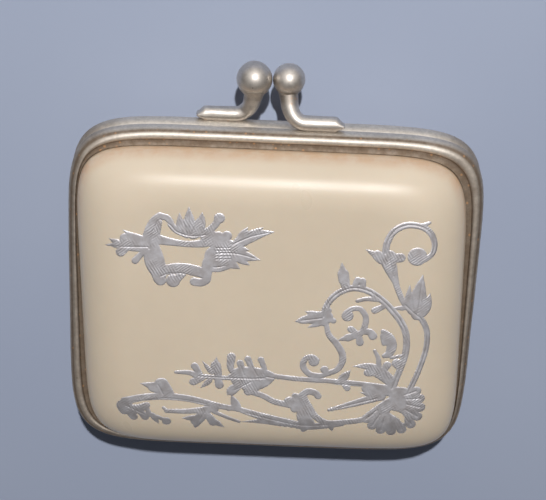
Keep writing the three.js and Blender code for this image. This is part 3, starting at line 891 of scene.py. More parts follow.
def petal(root, tip, width, bend=0.0):
    """A lobe that swells from a narrow root to a round end."""
    root_v, tip_v = Vector(root), Vector(tip)
    side_v = Vector((root_v.y - tip_v.y, tip_v.x - root_v.x)) * bend
    marks = []
    for i in range(7):
        along = i / 6
        middle = root_v.lerp(tip_v, along) + side_v * math.sin(math.pi * along)
        marks.append((middle.x, middle.y, width * lerp(0.28, 0.5, math.sqrt(along))))
    return marks


def field_of(marks, grid_s, grid_t):
    """How deep each grid point is inside a chain of circles joined by cones."""
    depth = np.full(grid_s.shape, -9.0)
    for (s0, t0, r0), (s1, t1, r1) in zip(marks, marks[1:]):
        reach = max(r0, r1) + 0.5
        near = ((grid_s > min(s0, s1) - reach) & (grid_s < max(s0, s1) + reach)
                & (grid_t > min(t0, t1) - reach) & (grid_t < max(t0, t1) + reach))
        if not near.any():
            continue
        ds, dt = s1 - s0, t1 - t0
        length = ds * ds + dt * dt + 1e-12
        share = np.clip(((grid_s[near] - s0) * ds + (grid_t[near] - t0) * dt) / length, 0, 1)
        gap = np.hypot(grid_s[near] - s0 - share * ds, grid_t[near] - t0 - share * dt)
        depth[near] = np.maximum(depth[near], r0 + (r1 - r0) * share - gap)
    return depth


def inlay_field(shapes, cuts, grid_s, grid_t):
    depth = np.full(grid_s.shape, -9.0)
    for marks in shapes:
        depth = np.maximum(depth, field_of(marks, grid_s, grid_t))
    for marks in cuts:
        depth = np.minimum(depth, -field_of(marks, grid_s, grid_t))
    return depth


def inlay_mesh(name, shapes, cuts, veins, step):
    """A thin engraved plate with the ornament's outline, following the lid's dome."""
    every = [mark for marks in shapes for mark in marks]
    low_s = min(s - r for s, t, r in every) - 2 * step
    low_t = min(t - r for s, t, r in every) - 2 * step
    count_s = int((max(s + r for s, t, r in every) + 2 * step - low_s) / step) + 1
    count_t = int((max(t + r for s, t, r in every) + 2 * step - low_t) / step) + 1
    grid_s, grid_t = np.meshgrid(low_s + step * np.arange(count_s), low_t + step * np.arange(count_t))
    depth = inlay_field(shapes, cuts, grid_s, grid_t)
    groove = np.full(grid_s.shape, -9.0)
    for marks in veins:
        groove = np.maximum(groove, field_of(marks, grid_s, grid_t))
    inside = depth > 0
    places = []
    index = {}

    def corner(i, j):
        key = (i, j)
        if key not in index:
            index[key] = len(places)
            places.append((grid_s[i, j], grid_t[i, j], depth[i, j], groove[i, j]))
        return index[key]

    def crossing(a, b):
        key = (a, b) if a < b else (b, a)
        if key not in index:
            (i, j), (k, m) = key
            share = depth[i, j] / (depth[i, j] - depth[k, m])
            index[key] = len(places)
            places.append((lerp(grid_s[i, j], grid_s[k, m], share),
                           lerp(grid_t[i, j], grid_t[k, m], share), 0.0, -9.0))
        return index[key]

    faces = []
    touched = inside[:-1, :-1] | inside[1:, :-1] | inside[:-1, 1:] | inside[1:, 1:]
    for i, j in zip(*np.nonzero(touched)):
        cell = [(i, j), (i, j + 1), (i + 1, j + 1), (i + 1, j)]
        polygon = []
        for a, b in zip(cell, cell[1:] + cell[:1]):
            if inside[a]:
                polygon.append(corner(*a))
            if inside[a] != inside[b]:
                polygon.append(crossing(a, b))
        if len(polygon) > 2:
            faces.append(polygon)
    return close_inlay(name, places, faces)


INLAY_RISE = 0.045
INLAY_SINK = 0.06
VEIN_DEPTH = 0.045


def close_inlay(name, places, faces):
    verts = []
    for s, t, inner, groove in places:
        height = MID + dome_height(cover_depth(-s, -t, LID_OUTLINE))
        rounded = INLAY_RISE * smoothstep(-0.02, 0.14, inner)
        engraved = VEIN_DEPTH * smoothstep(-0.06, 0.06, groove)
        verts.append((-s, -t, height + rounded - engraved))
    top_count = len(verts)
    for s, t, _, _ in places:
        height = MID + dome_height(cover_depth(-s, -t, LID_OUTLINE))
        verts.append((-s, -t, height - INLAY_SINK))
    under = [[top_count + v for v in reversed(face)] for face in faces]
    edges = {}
    for face in faces:
        for a, b in zip(face, face[1:] + face[:1]):
            edges[(a, b)] = edges.get((a, b), 0) + 1
    walls = [(b, a, a + top_count, b + top_count) for a, b in edges if (b, a) not in edges]
    return make_object(name, verts, faces + under + walls, 60)


def cartouche():
    """A shield with a scrolled bowl and palmette on top and leaves on both sides."""
    bowl = [(-18.9, 16.2), (-17.6, 15.8), (-16.7, 14.3), (-15.2, 13.4), (-13.2, 13.2),
            (-11.2, 13.8), (-9.9, 15.0), (-9.4, 16.0)]
    shield_top = [(-19.6, 12.2), (-17.4, 11.8), (-14.5, 11.5), (-12.0, 11.7), (-10.2, 12.4)]
    shield_left = [(-20.2, 10.8), (-20.0, 9.6), (-19.6, 8.0), (-19.0, 6.4), (-18.9, 5.2)]
    shield_foot = [(-19.0, 6.4), (-16.8, 7.0), (-14.8, 7.1), (-12.8, 6.8), (-11.4, 6.4)]
    shield_right = [(-11.0, 6.2), (-10.8, 8.2), (-9.5, 10.2), (-9.3, 12.6)]
    shapes = [
        stroke([(-20.8, 9.8), (-20.3, 12.6), (-19.6, 15.0), (-18.9, 16.1)], 1.9, 1.4, 2.7),
        stroke(bowl, 1.1, 1.2, 1.2), disc(-9.2, 16.2, 0.9),
        stroke(shield_top, 1.9, 1.9, 1.1), stroke(shield_left, 2.6, 2.0, 3.3),
        stroke(shield_foot, 1.6, 1.8, 2.0), stroke(shield_right, 1.5, 2.6, 2.4),
        disc(-10.7, 12.7, 1.5), disc(-16.6, 4.9, 1.15), disc(-18.7, 4.9, 0.95),
        stroke([(-16.0, 5.2), (-15.0, 6.2)], 1.4, 1.2),
        stroke([(-13.1, 4.9), (-11.9, 4.8), (-11.0, 5.4), (-11.0, 6.8)], 1.5, 1.3),
        leaf((-14.2, 12.8), (-15.7, 16.8), 1.9, 0.1), leaf((-14.0, 12.8), (-14.2, 17.9), 2.1),
        leaf((-13.8, 12.8), (-12.0, 17.1), 2.3, -0.1),
    ]
    # Leaves on the right of the shield.
    shapes += [
        stroke([(-9.2, 12.2), (-7.6, 11.5), (-6.0, 11.3)], 2.7, 1.7),
        stroke([(-9.6, 9.5), (-7.6, 9.6), (-5.6, 10.1)], 3.8, 2.0),
        petal((-8.6, 11.8), (-7.9, 13.2), 1.7), leaf((-8.4, 9.2), (-5.6, 7.5), 1.8),
        leaf((-6.6, 10.2), (-2.3, 9.2), 1.8), leaf((-6.4, 9.6), (-4.0, 8.2), 1.3),
        leaf((-6.8, 11.0), (-4.2, 10.9), 1.4), leaf((-7.0, 11.6), (-3.7, 12.3), 1.3),
        leaf((-6.6, 11.8), (-0.2, 14.2), 2.2, 0.07), leaf((-5.8, 12.4), (-4.6, 14.8), 1.5),
        leaf((-4.4, 13.4), (-2.0, 14.9), 1.1),
        stroke([(-10.6, 7.2), (-9.0, 7.2), (-7.4, 7.8)], 0.9, 0.8),
    ]
    # Leaves on the left.
    shapes += [
        leaf((-20.4, 11.4), (-24.9, 13.5), 1.6, 0.05), petal((-22.0, 10.9), (-24.5, 12.0), 1.9),
        leaf((-20.6, 10.6), (-27.8, 10.6), 2.1, -0.04), petal((-24.2, 10.5), (-25.3, 9.6), 1.6),
        leaf((-24.8, 10.8), (-27.2, 11.8), 1.2), petal((-21.6, 9.8), (-22.9, 8.2), 1.2),
    ]
    cuts = [stroke([(-13.9, 3.6), (-14.2, 5.3)], 0.7, 0.5)]
    veins = [
        stroke([(-18.8, 15.6), (-17.2, 14.7), (-16.0, 13.5), (-13.6, 12.9), (-11.4, 13.2)], 0.2, 0.2),
        stroke([(-20.6, 10.4), (-20.2, 13.0), (-19.2, 15.4)], 0.22, 0.16),
        stroke([(-18.6, 5.6), (-17.2, 6.2), (-15.2, 6.3), (-13.6, 5.9)], 0.18, 0.16),
        stroke([(-14.1, 13.2), (-14.2, 17.0)], 0.2, 0.12),
        stroke([(-14.4, 13.2), (-15.3, 16.0)], 0.16, 0.12),
        stroke([(-13.7, 13.2), (-12.5, 16.4)], 0.18, 0.12),
        stroke([(-20.8, 10.7), (-27.0, 10.5)], 0.2, 0.12),
        stroke([(-7.0, 11.7), (-4.0, 13.2), (-0.9, 14.1)], 0.2, 0.12),
        stroke([(-9.0, 10.2), (-6.0, 10.1), (-3.0, 9.4)], 0.2, 0.12),
    ]
    for t in (9.0, 9.5, 10.0, 10.5, 11.0):
        veins.append(stroke([(-9.6, t), (-7.2, t + 0.15)], 0.14, 0.1))
    return inlay_mesh("cartouche_silver", shapes, cuts, veins, 0.1)


def corner_shell():
    """The fluted shell in the corner: ribs with round ends and a bare band across them."""
    centre_s, centre_t = 20.9, -15.6
    shapes = [stroke([(16.8, -13.6), (19.6, -13.8), (23.2, -14.2)], 1.7, 2.2), disc(22.4, -15.4, 1.7)]
    veins = []
    for i in range(10):
        angle = math.radians(22 - 17.5 * i)
        reach = 5.0 + 1.4 * math.sin(math.radians(18 * i))
        tip_s = centre_s + 0.96 * reach * math.cos(angle)
        tip_t = centre_t + reach * math.sin(angle)
        shapes.append(petal((centre_s, centre_t), (tip_s, tip_t), 1.75))
        middle_s, middle_t = lerp(centre_s, tip_s, 0.55), lerp(centre_t, tip_t, 0.55)
        veins.append(stroke([(middle_s, middle_t), (tip_s, tip_t)], 0.16, 0.3))
    bare = [stroke([(21.4, -17.9), (22.9, -18.6), (23.6, -19.8)], 0.6, 0.5, 1.0)]
    return shapes, bare, veins


def corner_scroll():
    shapes, cuts, veins = corner_shell()
    outer = [(23.8, -14.4), (25.0, -11.2), (26.0, -7.6), (26.4, -5.0), (26.2, -2.4), (25.2, -0.4),
             (23.8, 0.8), (22.2, 2.2), (21.0, 4.4), (20.1, 6.6)]
    curl = [(18.2, 11.2), (18.4, 13.2), (19.4, 15.2), (21.4, 16.3), (23.8, 16.1), (25.4, 15.0),
            (26.2, 13.2), (26.0, 11.5), (24.9, 10.4)]
    inner = [(21.2, -13.4), (22.0, -10.6), (22.7, -8.0), (23.0, -5.4), (22.7, -3.0), (21.8, -1.0),
             (20.3, 0.9), (18.4, 2.8), (16.0, 4.4), (13.6, 4.9), (11.6, 4.3), (10.0, 3.0), (9.0, 1.2),
             (8.7, -0.6)]
    shapes += [stroke(outer, 1.0, 1.0, 1.0), stroke(curl, 1.2, 0.9, 1.1), disc(23.5, 10.9, 1.6),
               stroke([(24.0, 16.3), (25.1, 16.8)], 0.9, 0.5), stroke(inner, 1.1, 1.1, 1.2)]
    # The trumpet flower under the curl and the leaf beside it.
    shapes += [
        stroke([(20.6, 5.6), (19.8, 7.4), (19.1, 9.2), (18.8, 10.4)], 0.8, 2.9),
        stroke([(18.8, 10.3), (20.2, 10.5), (20.8, 10.6)], 1.9, 1.6),
        petal((18.6, 9.6), (16.9, 10.9), 1.7, 0.1),
        leaf((17.2, 10.6), (15.0, 11.8), 1.0), leaf((18.8, 9.0), (17.8, 11.8), 1.2),
        leaf((24.4, -0.2), (24.7, 7.7), 3.0, 0.03), leaf((23.4, 0.6), (22.7, 5.8), 1.7, 0.05),
        leaf((24.6, 0.2), (26.2, 4.4), 2.0, -0.08), petal((24.0, 0.8), (23.2, 2.6), 1.6),
        leaf((22.4, 1.6), (20.2, 1.6), 0.9),
    ]
    # Leaves and buds on the inner scroll.
    shapes += [
        petal((12.2, 4.6), (11.5, 7.3), 1.9), leaf((11.7, 5.4), (11.2, 9.3), 1.7),
        petal((13.4, 5.0), (14.0, 6.3), 1.2), petal((15.0, 4.6), (14.8, 6.2), 1.2),
        stroke([(17.6, 3.0), (15.6, 3.0), (14.2, 2.6)], 0.9, 0.7), petal((19.0, 2.0), (17.2, 1.0), 1.2),
        stroke([(9.2, 0.6), (8.6, -0.6), (8.8, -1.6)], 1.6, 1.3),
        stroke([(9.2, -0.6), (7.2, -0.8), (5.6, -1.2)], 2.3, 1.3, 2.2),
        leaf((6.6, -1.0), (4.0, -1.6), 1.5),
        leaf((8.0, -0.4), (5.6, 0.3), 1.2), leaf((9.0, -1.2), (6.2, -2.6), 1.2),
        petal((9.2, -0.6), (10.4, -1.2), 1.0),
        disc(12.7, -0.2, 1.0),
        stroke([(12.4, 0.4), (13.4, 1.1), (14.8, 1.1), (15.8, -0.4), (15.6, -2.4), (15.0, -3.4)],
            0.9, 1.1),
        petal((14.6, -3.4), (13.4, -2.6), 1.2), petal((14.6, -3.6), (13.0, -4.2), 1.4),
        petal((14.8, -3.6), (15.1, -5.0), 1.3),
        leaf((13.0, -4.2), (11.4, -4.7), 0.9),
        stroke([(15.2, -3.0), (16.6, -3.0), (17.2, -3.7)], 0.9, 1.5),
        stroke([(18.9, -2.8), (20.0, -3.9), (20.5, -5.4), (20.2, -6.8), (19.4, -7.3)], 0.9, 0.9, 1.8),
        stroke([(19.0, -3.6), (19.2, -5.0)], 1.2, 0.9), petal((22.4, -9.6), (21.6, -8.6), 1.7),
        stroke([(17.7, -6.4), (18.4, -7.8), (18.6, -9.4)], 0.6, 1.0),
        stroke([(21.2, -12.4), (19.6, -11.0), (18.0, -10.0)], 1.8, 2.2, 2.2),
        petal((18.4, -10.6), (16.8, -10.6), 1.4),
        leaf((18.6, -9.6), (14.2, -9.5), 1.3, -0.04), petal((19.4, -10.2), (20.0, -9.0), 1.4),
        stroke([(22.9, -7.0), (20.6, -7.6)], 0.6, 0.6),
    ]
    # The S-curve and its two curled ends.
    hook = [(9.2, -1.8), (9.8, -3.8), (11.2, -5.4), (12.3, -7.4), (12.2, -9.2), (11.2, -10.5),
            (9.6, -10.9)]
    eye = [(10.4, -11.0), (8.6, -11.5), (6.8, -11.2), (5.7, -9.8), (6.1, -8.4), (7.2, -8.0),
           (8.1, -8.6)]
    shapes += [stroke(hook, 0.8, 0.9, 1.2), disc(9.4, -10.3, 0.7), stroke(eye, 0.8, 0.8, 1.1),
               disc(7.5, -8.9, 0.9)]
    # Long stems running to the left from the shell.
    upper = [(20.4, -13.2), (16.0, -12.8), (10.0, -12.5), (4.0, -12.3), (-1.0, -11.7)]
    floor_line = [(20.0, -18.0), (16.6, -19.6), (13.0, -20.3), (10.4, -20.5), (8.4, -19.4),
                  (7.0, -17.4), (5.9, -15.6)]
    join_line = [(4.2, -17.4), (1.2, -16.8), (-1.0, -15.7), (-3.4, -15.0)]
    shapes += [
        stroke(upper, 0.9, 1.0, 1.1), leaf((12.2, -12.4), (13.8, -10.3), 1.5),
        petal((12.6, -12.6), (13.5, -13.7), 1.1),
        stroke([(19.4, -15.0), (17.2, -15.7), (14.4, -16.7), (10.6, -18.0)], 1.6, 0.6, 1.3),
        leaf((18.4, -14.8), (15.8, -14.4), 1.1),
        leaf((17.0, -15.6), (15.6, -16.6), 0.9), stroke(floor_line, 1.2, 1.4, 1.1),
        stroke([(5.8, -15.4), (6.8, -14.6), (8.0, -14.8), (8.6, -15.4)], 1.3, 1.2),
        petal((6.0, -16.4), (3.7, -16.7), 1.9),
        petal((5.8, -15.8), (4.6, -15.5), 1.1), petal((6.4, -17.2), (4.7, -18.0), 1.5),
        stroke(join_line, 1.2, 1.0), stroke([(6.0, -18.2), (6.4, -19.8), (7.4, -21.0)], 1.8, 2.0, 2.4),
        stroke([(13.0, -20.6), (9.6, -21.2), (6.4, -21.4), (2.6, -20.6), (-0.8, -19.8), (-4.4, -18.7)],
            1.0, 1.1, 1.6),
        petal((8.0, -21.0), (6.4, -22.2), 1.0), leaf((7.0, -21.6), (-4.3, -21.0), 1.7, -0.05),
        leaf((11.0, -20.8), (11.4, -22.2), 1.0),
    ]
    # The acanthus head above.
    shapes += [
        stroke([(0.4, -12.0), (-2.4, -12.6), (-4.6, -12.4)], 1.6, 4.0, 4.2), disc(-3.0, -13.6, 1.8),
        petal((-0.6, -11.0), (-1.5, -8.9), 1.1), petal((-2.8, -11.0), (-3.7, -8.9), 1.2),
        petal((-4.4, -11.4), (-5.0, -9.7), 1.2),
        stroke([(-5.8, -12.0), (-6.6, -10.6), (-6.5, -8.6)], 0.8, 1.5, 1.2),
        petal((-5.0, -12.6), (-6.4, -12.4), 1.3),
        petal((-5.0, -14.0), (-6.3, -15.1), 1.7), leaf((-6.0, -14.0), (-7.0, -15.9), 1.1),
        stroke([(-5.4, -12.6), (-9.0, -12.6), (-12.6, -12.4)], 0.8, 0.9),
        stroke([(-12.0, -12.6), (-13.6, -11.9), (-15.9, -11.9)], 1.2, 0.6),
        petal((-8.6, -12.2), (-9.1, -10.4), 1.8), leaf((-9.2, -10.8), (-9.0, -8.8), 1.0),
        leaf((-9.6, -12.0), (-11.4, -9.6), 0.9),
        petal((-11.6, -12.3), (-12.7, -10.6), 1.3), petal((-8.8, -12.6), (-8.4, -14.0), 1.5),
        petal((-11.0, -12.6), (-12.9, -13.6), 1.4),
        leaf((-9.8, -13.0), (-11.6, -14.7), 1.0), petal((-2.2, -14.4), (-3.4, -15.0), 1.6),
    ]
    # The long leaf along the bottom edge.
    back = [(-4.8, -18.5), (-8.0, -18.1), (-10.6, -17.5), (-14.0, -16.8), (-18.0, -16.6),
            (-21.6, -17.0), (-24.6, -17.8)]
    shapes += [
        stroke(back, 1.0, 1.4, 1.3), leaf((-5.0, -18.8), (-6.3, -15.8), 1.6),
        petal((-5.6, -18.0), (-6.6, -18.4), 1.1),
        petal((-16.8, -16.4), (-18.3, -14.4), 2.6), petal((-18.0, -15.6), (-19.7, -14.9), 1.9),
        leaf((-19.2, -14.8), (-21.9, -14.3), 1.2),
        stroke([(-24.2, -18.2), (-25.2, -18.8), (-24.8, -19.8)], 1.8, 1.7),
        stroke([(-23.8, -19.6), (-22.2, -19.2), (-20.8, -18.4)], 2.2, 1.2),
        petal((-24.4, -19.4), (-23.1, -20.9), 1.5), petal((-22.4, -19.2), (-21.1, -20.8), 1.4),
        petal((-20.8, -18.8), (-20.4, -20.2), 1.0),
        leaf((-20.0, -20.0), (-18.7, -22.1), 1.1), disc(-17.4, -21.5, 0.8),
        stroke([(-19.0, -20.6), (-17.8, -21.2)], 0.7, 0.8),
        stroke([(-17.9, -18.8), (-17.2, -19.5)], 0.6, 0.7),
        stroke([(-17.4, -19.4), (-13.8, -19.3), (-10.6, -18.8), (-9.0, -18.6)], 0.8, 1.3),
        stroke([(-10.6, -19.0), (-11.4, -20.2), (-12.2, -21.2)], 1.8, 2.0),
        leaf((-11.8, -20.6), (-14.7, -20.7), 1.2),
        leaf((-12.0, -21.0), (-12.4, -22.7), 1.3), petal((-10.4, -19.6), (-9.3, -21.3), 1.6),
        leaf((-9.6, -20.8), (-7.4, -22.3), 1.2),
        stroke([(-9.2, -19.2), (-6.4, -20.4), (-4.8, -21.0)], 0.8, 0.6),
        stroke([(-20.4, -20.2), (-19.4, -20.6)], 1.0, 0.8),
    ]
    veins += [
        stroke(outer[:-2], 0.2, 0.16), stroke(inner, 0.22, 0.16), stroke(curl[:-1], 0.2, 0.16),
        stroke([(16.0, -13.1), (10.0, -12.9), (4.0, -12.7), (-0.6, -12.1)], 0.2, 0.18),
        stroke([(24.4, 0.8), (24.7, 6.8)], 0.2, 0.12), stroke([(23.6, 1.4), (22.9, 5.0)], 0.16, 0.12),
        stroke([(19.9, 7.2), (18.9, 10.6)], 0.18, 0.14),
        stroke([(19.8, 7.6), (20.4, 10.4)], 0.16, 0.12),
        stroke([(10.6, -21.0), (6.4, -21.3), (2.0, -20.6), (-3.6, -19.2)], 0.2, 0.16),
        stroke([(5.0, -21.9), (-3.4, -21.3)], 0.18, 0.14),
        stroke([(-10.6, -17.8), (-14.0, -17.2), (-18.0, -17.0), (-23.4, -17.9)], 0.2, 0.14),
        stroke([(-18.0, -16.2), (-18.9, -14.4)], 0.18, 0.14),
        stroke([(-0.6, -12.4), (-4.0, -12.6), (-12.0, -12.5)], 0.2, 0.14),
        stroke([(-2.0, -12.0), (-3.5, -9.2)], 0.18, 0.12),
        stroke([(-3.0, -13.2), (-5.8, -14.9)], 0.18, 0.12),
        stroke([(-4.2, -12.0), (-4.9, -10.2)], 0.16, 0.12),
        stroke([(-24.4, -18.8), (-22.6, -19.6), (-21.0, -20.4)], 0.18, 0.12),
        stroke([(-10.8, -19.4), (-12.0, -21.6)], 0.18, 0.12),
        stroke([(18.8, -15.4), (15.0, -16.6), (12.0, -17.6)], 0.18, 0.12),
        stroke([(8.4, -0.8), (5.0, -1.4)], 0.18, 0.12),
    ]
    return inlay_mesh("corner_scroll_silver", shapes, cuts, veins, 0.11)


def make_inlays():
    finish_piece(cartouche(), "lid", SILVER, "silver_inlay", "cartouche_inlay")
    finish_piece(corner_scroll(), "lid", SILVER, "silver_inlay", "corner_scroll_inlay")


# ---------- inside


def make_mirror():
    glass_low, glass_high = box_mm("mirror_glass")
    bezel_low, bezel_high = box_mm("mirror_bezel")
    low = glass_low.z - MID
    high = glass_high.z - MID
    edge = (WIDTH - (glass_high.x - glass_low.x)) / 2
    slope = 0.35
    glass = sweep("mirror_plate", [
        (None, low), (18.0, low), (edge + 3.2, low), (edge + 1.6, low + 0.02),
        (edge + slope, low + 0.25),
        (edge, low + 0.4), (edge, high), (None, high)], FRAME_OUTLINE, 1, 30)

    def worn_edge(x, y, z):
        return 1 - smoothstep(0.8, 3.2, cover_depth(x, y, FRAME_OUTLINE) + COVER_INSET - edge)

    mark(glass, "edge", worn_edge)
    finish_piece(glass, "lid", MIRROR, "mirror_glass", "mirror_glass")
    face = bezel_low.z - MID
    top = bezel_high.z - MID
    outer = (WIDTH - (bezel_high.x - bezel_low.x)) / 2
    lip = low - 0.05
    profile = [(outer + 0.66, top), (outer, top), (outer, face + 0.25)]
    profile += [(outer + 0.25 - x, face + 0.25 - y) for x, y in arc(0, 0, 0.25, 0, 90, 4)]
    profile += [(outer + 0.9, face), (outer + 1.0, face + 0.12), (outer + 1.15, face)]
    profile += [(outer + 1.55 - 0.3 * math.cos(math.radians(a)),
        face + 0.3 - 0.3 * math.sin(math.radians(a)))
                for a in (35, 65, 90, 120, 150, 175)]
    profile += [(outer + 1.95, lip), (outer + 0.7, lip), (outer + 0.7, lip + 0.2)]
    bezel = sweep("mirror_frame", profile, FRAME_OUTLINE, 1, 35, True)
    mark(bezel, "grime_and_shade", lambda x, y, z: 0.25 * smoothstep(0.6, 1.2, z - MID))
    finish_piece(bezel, "lid", INTERIOR_NICKEL, "interior_nickel", "mirror_bezel")
    frame["nodes"]["mirror_backing"].data.materials.clear()
    frame["nodes"]["mirror_backing"].data.materials.append(CARD)


def make_base_inside():
    deck_low, deck_high = box_mm("deck_plate")
    deck_top = MID - deck_high.z
    deck_bottom = MID - deck_low.z
    deck_edge = (WIDTH - (deck_high.x - deck_low.x)) / 2
    pan_edge = 9.2
    deck = sweep("deck", [
        (deck_edge, deck_bottom), (deck_edge, deck_top), (6.0, deck_top), (6.2, deck_top + 0.12),
        (6.4, deck_top),
        (pan_edge, deck_top), (pan_edge, deck_bottom)], FRAME_OUTLINE, -1, 30, True)
    mark(deck, "grime_and_shade", lambda x, y, z: 0.15)
    finish_piece(deck, "base", INTERIOR_NICKEL, "interior_nickel", "deck_plate")
    pan_low, pan_high = box_mm("powder_pan")
    top = MID - pan_high.z
    bottom = MID - pan_low.z
    flange = (WIDTH - (pan_high.x - pan_low.x)) / 2
    wall = pan_edge + 0.7
    profile = [(None, bottom), (pan_edge + 0.8, bottom)]
    profile += arc(pan_edge + 0.8, bottom - 0.8, 0.8, 90, 180, 5)
    profile += [(pan_edge, top + 0.6), (flange + 0.3, top + 0.6)]
    profile += arc(flange + 0.3, top + 0.3, 0.3, 90, 270, 8)
    profile += [(wall - 0.4, top)]
    profile += arc(wall - 0.4, top + 0.4, 0.4, 270, 360, 5)
    profile += [(wall, bottom - 1.2)]
    profile += [(wall + 0.6 - x, bottom - 1.2 + y) for x, y in arc(0, 0, 0.6, 0, 90, 4)]
    profile += [(None, bottom - 0.6)]
    pan = sweep("pan", profile, FRAME_OUTLINE, -1, 35)
    mark(pan, "grime_and_shade", lambda x, y, z: 0.2 * smoothstep(1.0, 3.0, MID - z))
    finish_piece(pan, "base", INTERIOR_NICKEL, "interior_nickel", "powder_pan")
    make_powder()


def make_powder():
    low, high = box_mm("pressed_powder")
    top = MID - high.z
    bottom = MID - low.z
    edge = (WIDTH - (high.x - low.x)) / 2
    profile = [(None, bottom), (edge + 0.6, bottom), (edge, bottom - 0.7), (edge, top + 0.55),
               (edge + 0.25, top + 0.28),
               (edge + 0.9, top + 0.12)]
    for i in range(1, 16):
        depth = edge + 0.9 + i * 1.1
        profile.append((depth, top + 0.1 - 0.1 * smoothstep(0, 4, i * 1.1)))
    profile.append((None, top))
    powder = sweep("powder_cake", profile, FRAME_OUTLINE, -1, 60)
    for vertex in powder.data.vertices:
        place = vertex.co / MM
        if place.z > MID - top - 0.4:
            vertex.co.z -= 0.12 * MM * (0.5 + 0.5 * noise.noise(place * 0.45))
    finish_piece(powder, "base", POWDER, "face_powder", "pressed_powder")


def make_puff():
    low, high = box_mm("powder_puff")
    centre = (low + high) / 2
    half = (high - low) / 2
    steps_round = 132
    rings = 22
    verts = []
    for sign in (1, -1):
        for i in range(rings + 1):
            share = i / rings
            for k in range(steps_round):
                angle = 2 * math.pi * k / steps_round
                x, y = puff_outline(angle, share, half)
                crown = (1 - share ** 3.2) ** 0.62
                z = sign * half.z * crown
                place = Vector((x, y, z))
                fluff = 0.10 * noise.noise(place * 0.35) + 0.03 * noise.noise(place * 1.9)
                stitched = 0.25 * smoothstep(0.86, 0.93, share) * (1 - smoothstep(0.93, 0.985, share))
                z -= sign * (max(fluff, -0.1) * crown * 0.8 + stitched * 0.6)
                verts.append((centre.x + x, centre.y + y, centre.z + z * 0.97))
    faces = []
    sheet = (rings + 1) * steps_round
    for side in (0, 1):
        for i in range(rings):
            for k in range(steps_round):
                j = (k + 1) % steps_round
                a = side * sheet + i * steps_round
                faces.append((a + k, a + j, a + steps_round + j, a + steps_round + k))
    for side in (0, 1):
        faces.append(tuple(side * sheet + k for k in range(steps_round)))
    for k in range(steps_round):
        j = (k + 1) % steps_round
        a = rings * steps_round
        faces.append((a + k, a + j, sheet + a + j, sheet + a + k))
    puff = make_object("velour_puff", verts, faces, 80)
    finish_piece(puff, "base", VELOUR, "velour", "powder_puff")
    return puff


def puff_outline(angle, share, half):
    squareness = lerp(2.4, 4.2, share)
    cosine, sine = math.cos(angle), math.sin(angle)
    reach = (abs(cosine) ** squareness + abs(sine) ** squareness) ** (-1 / squareness)
    scale = max(share, 0.02)
    return (half.x - 0.2) * scale * cosine * reach, (half.y - 0.2) * scale * sine * reach


def make_ribbon():
    low, high = box_mm("puff_ribbon")
    length = high.x - low.x
    width = high.y - low.y
    rows, columns = 60, 14
    thickness = 0.12
    verts = []
    for level in (0, 1):
        for i in range(rows + 1):
            along = i / rows
            for j in range(columns + 1):
                across = j / columns
                x = low.x + length * along
                y = low.y + width * across
                droop = 0.55 * (abs(2 * along - 1)) ** 5
                ripple = 0.07 * math.sin(along * 14 + across * 2.5) * (1 - abs(2 * along - 1) ** 4)
                z = low.z + 0.03 - droop + 0.05 + ripple + level * thickness
                verts.append((x, y, z))
    faces = []
    level_size = (rows + 1) * (columns + 1)
    for i in range(rows):
        for j in range(columns):
            a = i * (columns + 1) + j
            quad = (a, a + 1, a + columns + 2, a + columns + 1)
            faces.append(quad)
            faces.append(tuple(level_size + v for v in reversed(quad)))
    rim_path = [(i, 0) for i in range(rows)] + [(rows, j) for j in range(columns)]
    rim_path += [(i, columns) for i in range(rows, 0, -1)] + [(0, j) for j in range(columns, 0, -1)]
    loop = [i * (columns + 1) + j for i, j in rim_path]
    for a, b in zip(loop, loop[1:] + loop[:1]):
        faces.append((a, b, level_size + b, level_size + a))
    ribbon = make_object("satin_band", verts, faces, 60)
    centre_y = (low.y + high.y) / 2
    mark(ribbon, "edge", lambda x, y, z: smoothstep(width / 2 - 0.9, width / 2 - 0.6,
        abs(y - centre_y)))
    finish_piece(ribbon, "base", SATIN, "satin_ribbon", "puff_ribbon")


# ---------- stage, lights and camera

CAMERA_TILT = 20.7        # degrees from straight down, towards the clasp
CAMERA_TURN = -0.65
CAMERA_ROLL = 2.57
CAMERA_DISTANCE = 220.3
CAMERA_AIM = (0.16, 6.88)  # right and up in the picture, from the case's middle
FOCAL_LENGTH = 83.2        # on a 36 mm wide sensor


def make_camera():
    turn = math.radians(CAMERA_TURN)
    tilt = math.radians(CAMERA_TILT)
    away = Vector((-math.sin(turn), -math.sin(tilt), math.cos(tilt))).normalized()
    right = Vector((0, -1, 0)).cross(away).normalized()
    up = away.cross(right)
    roll = math.radians(CAMERA_ROLL)
    rolled_right = math.cos(roll) * right + math.sin(roll) * up
    rolled_up = -math.sin(roll) * right + math.cos(roll) * up
    aim = Vector((0, 0, MID)) + CAMERA_AIM[0] * rolled_right + CAMERA_AIM[1] * rolled_up
    data = bpy.data.cameras.new("camera")
    data.lens = FOCAL_LENGTH
    data.sensor_width = 36.0
    data.clip_start = 0.01
    camera = bpy.data.objects.new("camera", data)
    place = (aim + CAMERA_DISTANCE * away) * MM
    axes = Matrix((rolled_right, rolled_up, away)).transposed().to_4x4()
    camera.matrix_world = Matrix.Translation(place) @ axes
    bpy.context.scene.collection.objects.link(camera)
    bpy.context.scene.camera = camera


def area_light(name, place, target, size, power, colour, glossy=True, diffuse=True):
    data = bpy.data.lights.new(name, "AREA")
    data.shape = "RECTANGLE"
    data.size, data.size_y = size
    data.energy = power
    data.color = colour
    light = bpy.data.objects.new(name, data)
    away = Vector(place) - Vector(target)
    light.rotation_euler = away.to_track_quat("Z", "Y").to_euler()
    light.location = place
    light.visible_glossy = glossy
    light.visible_diffuse = diffuse
    light.visible_camera = False
    bpy.context.scene.collection.objects.link(light)


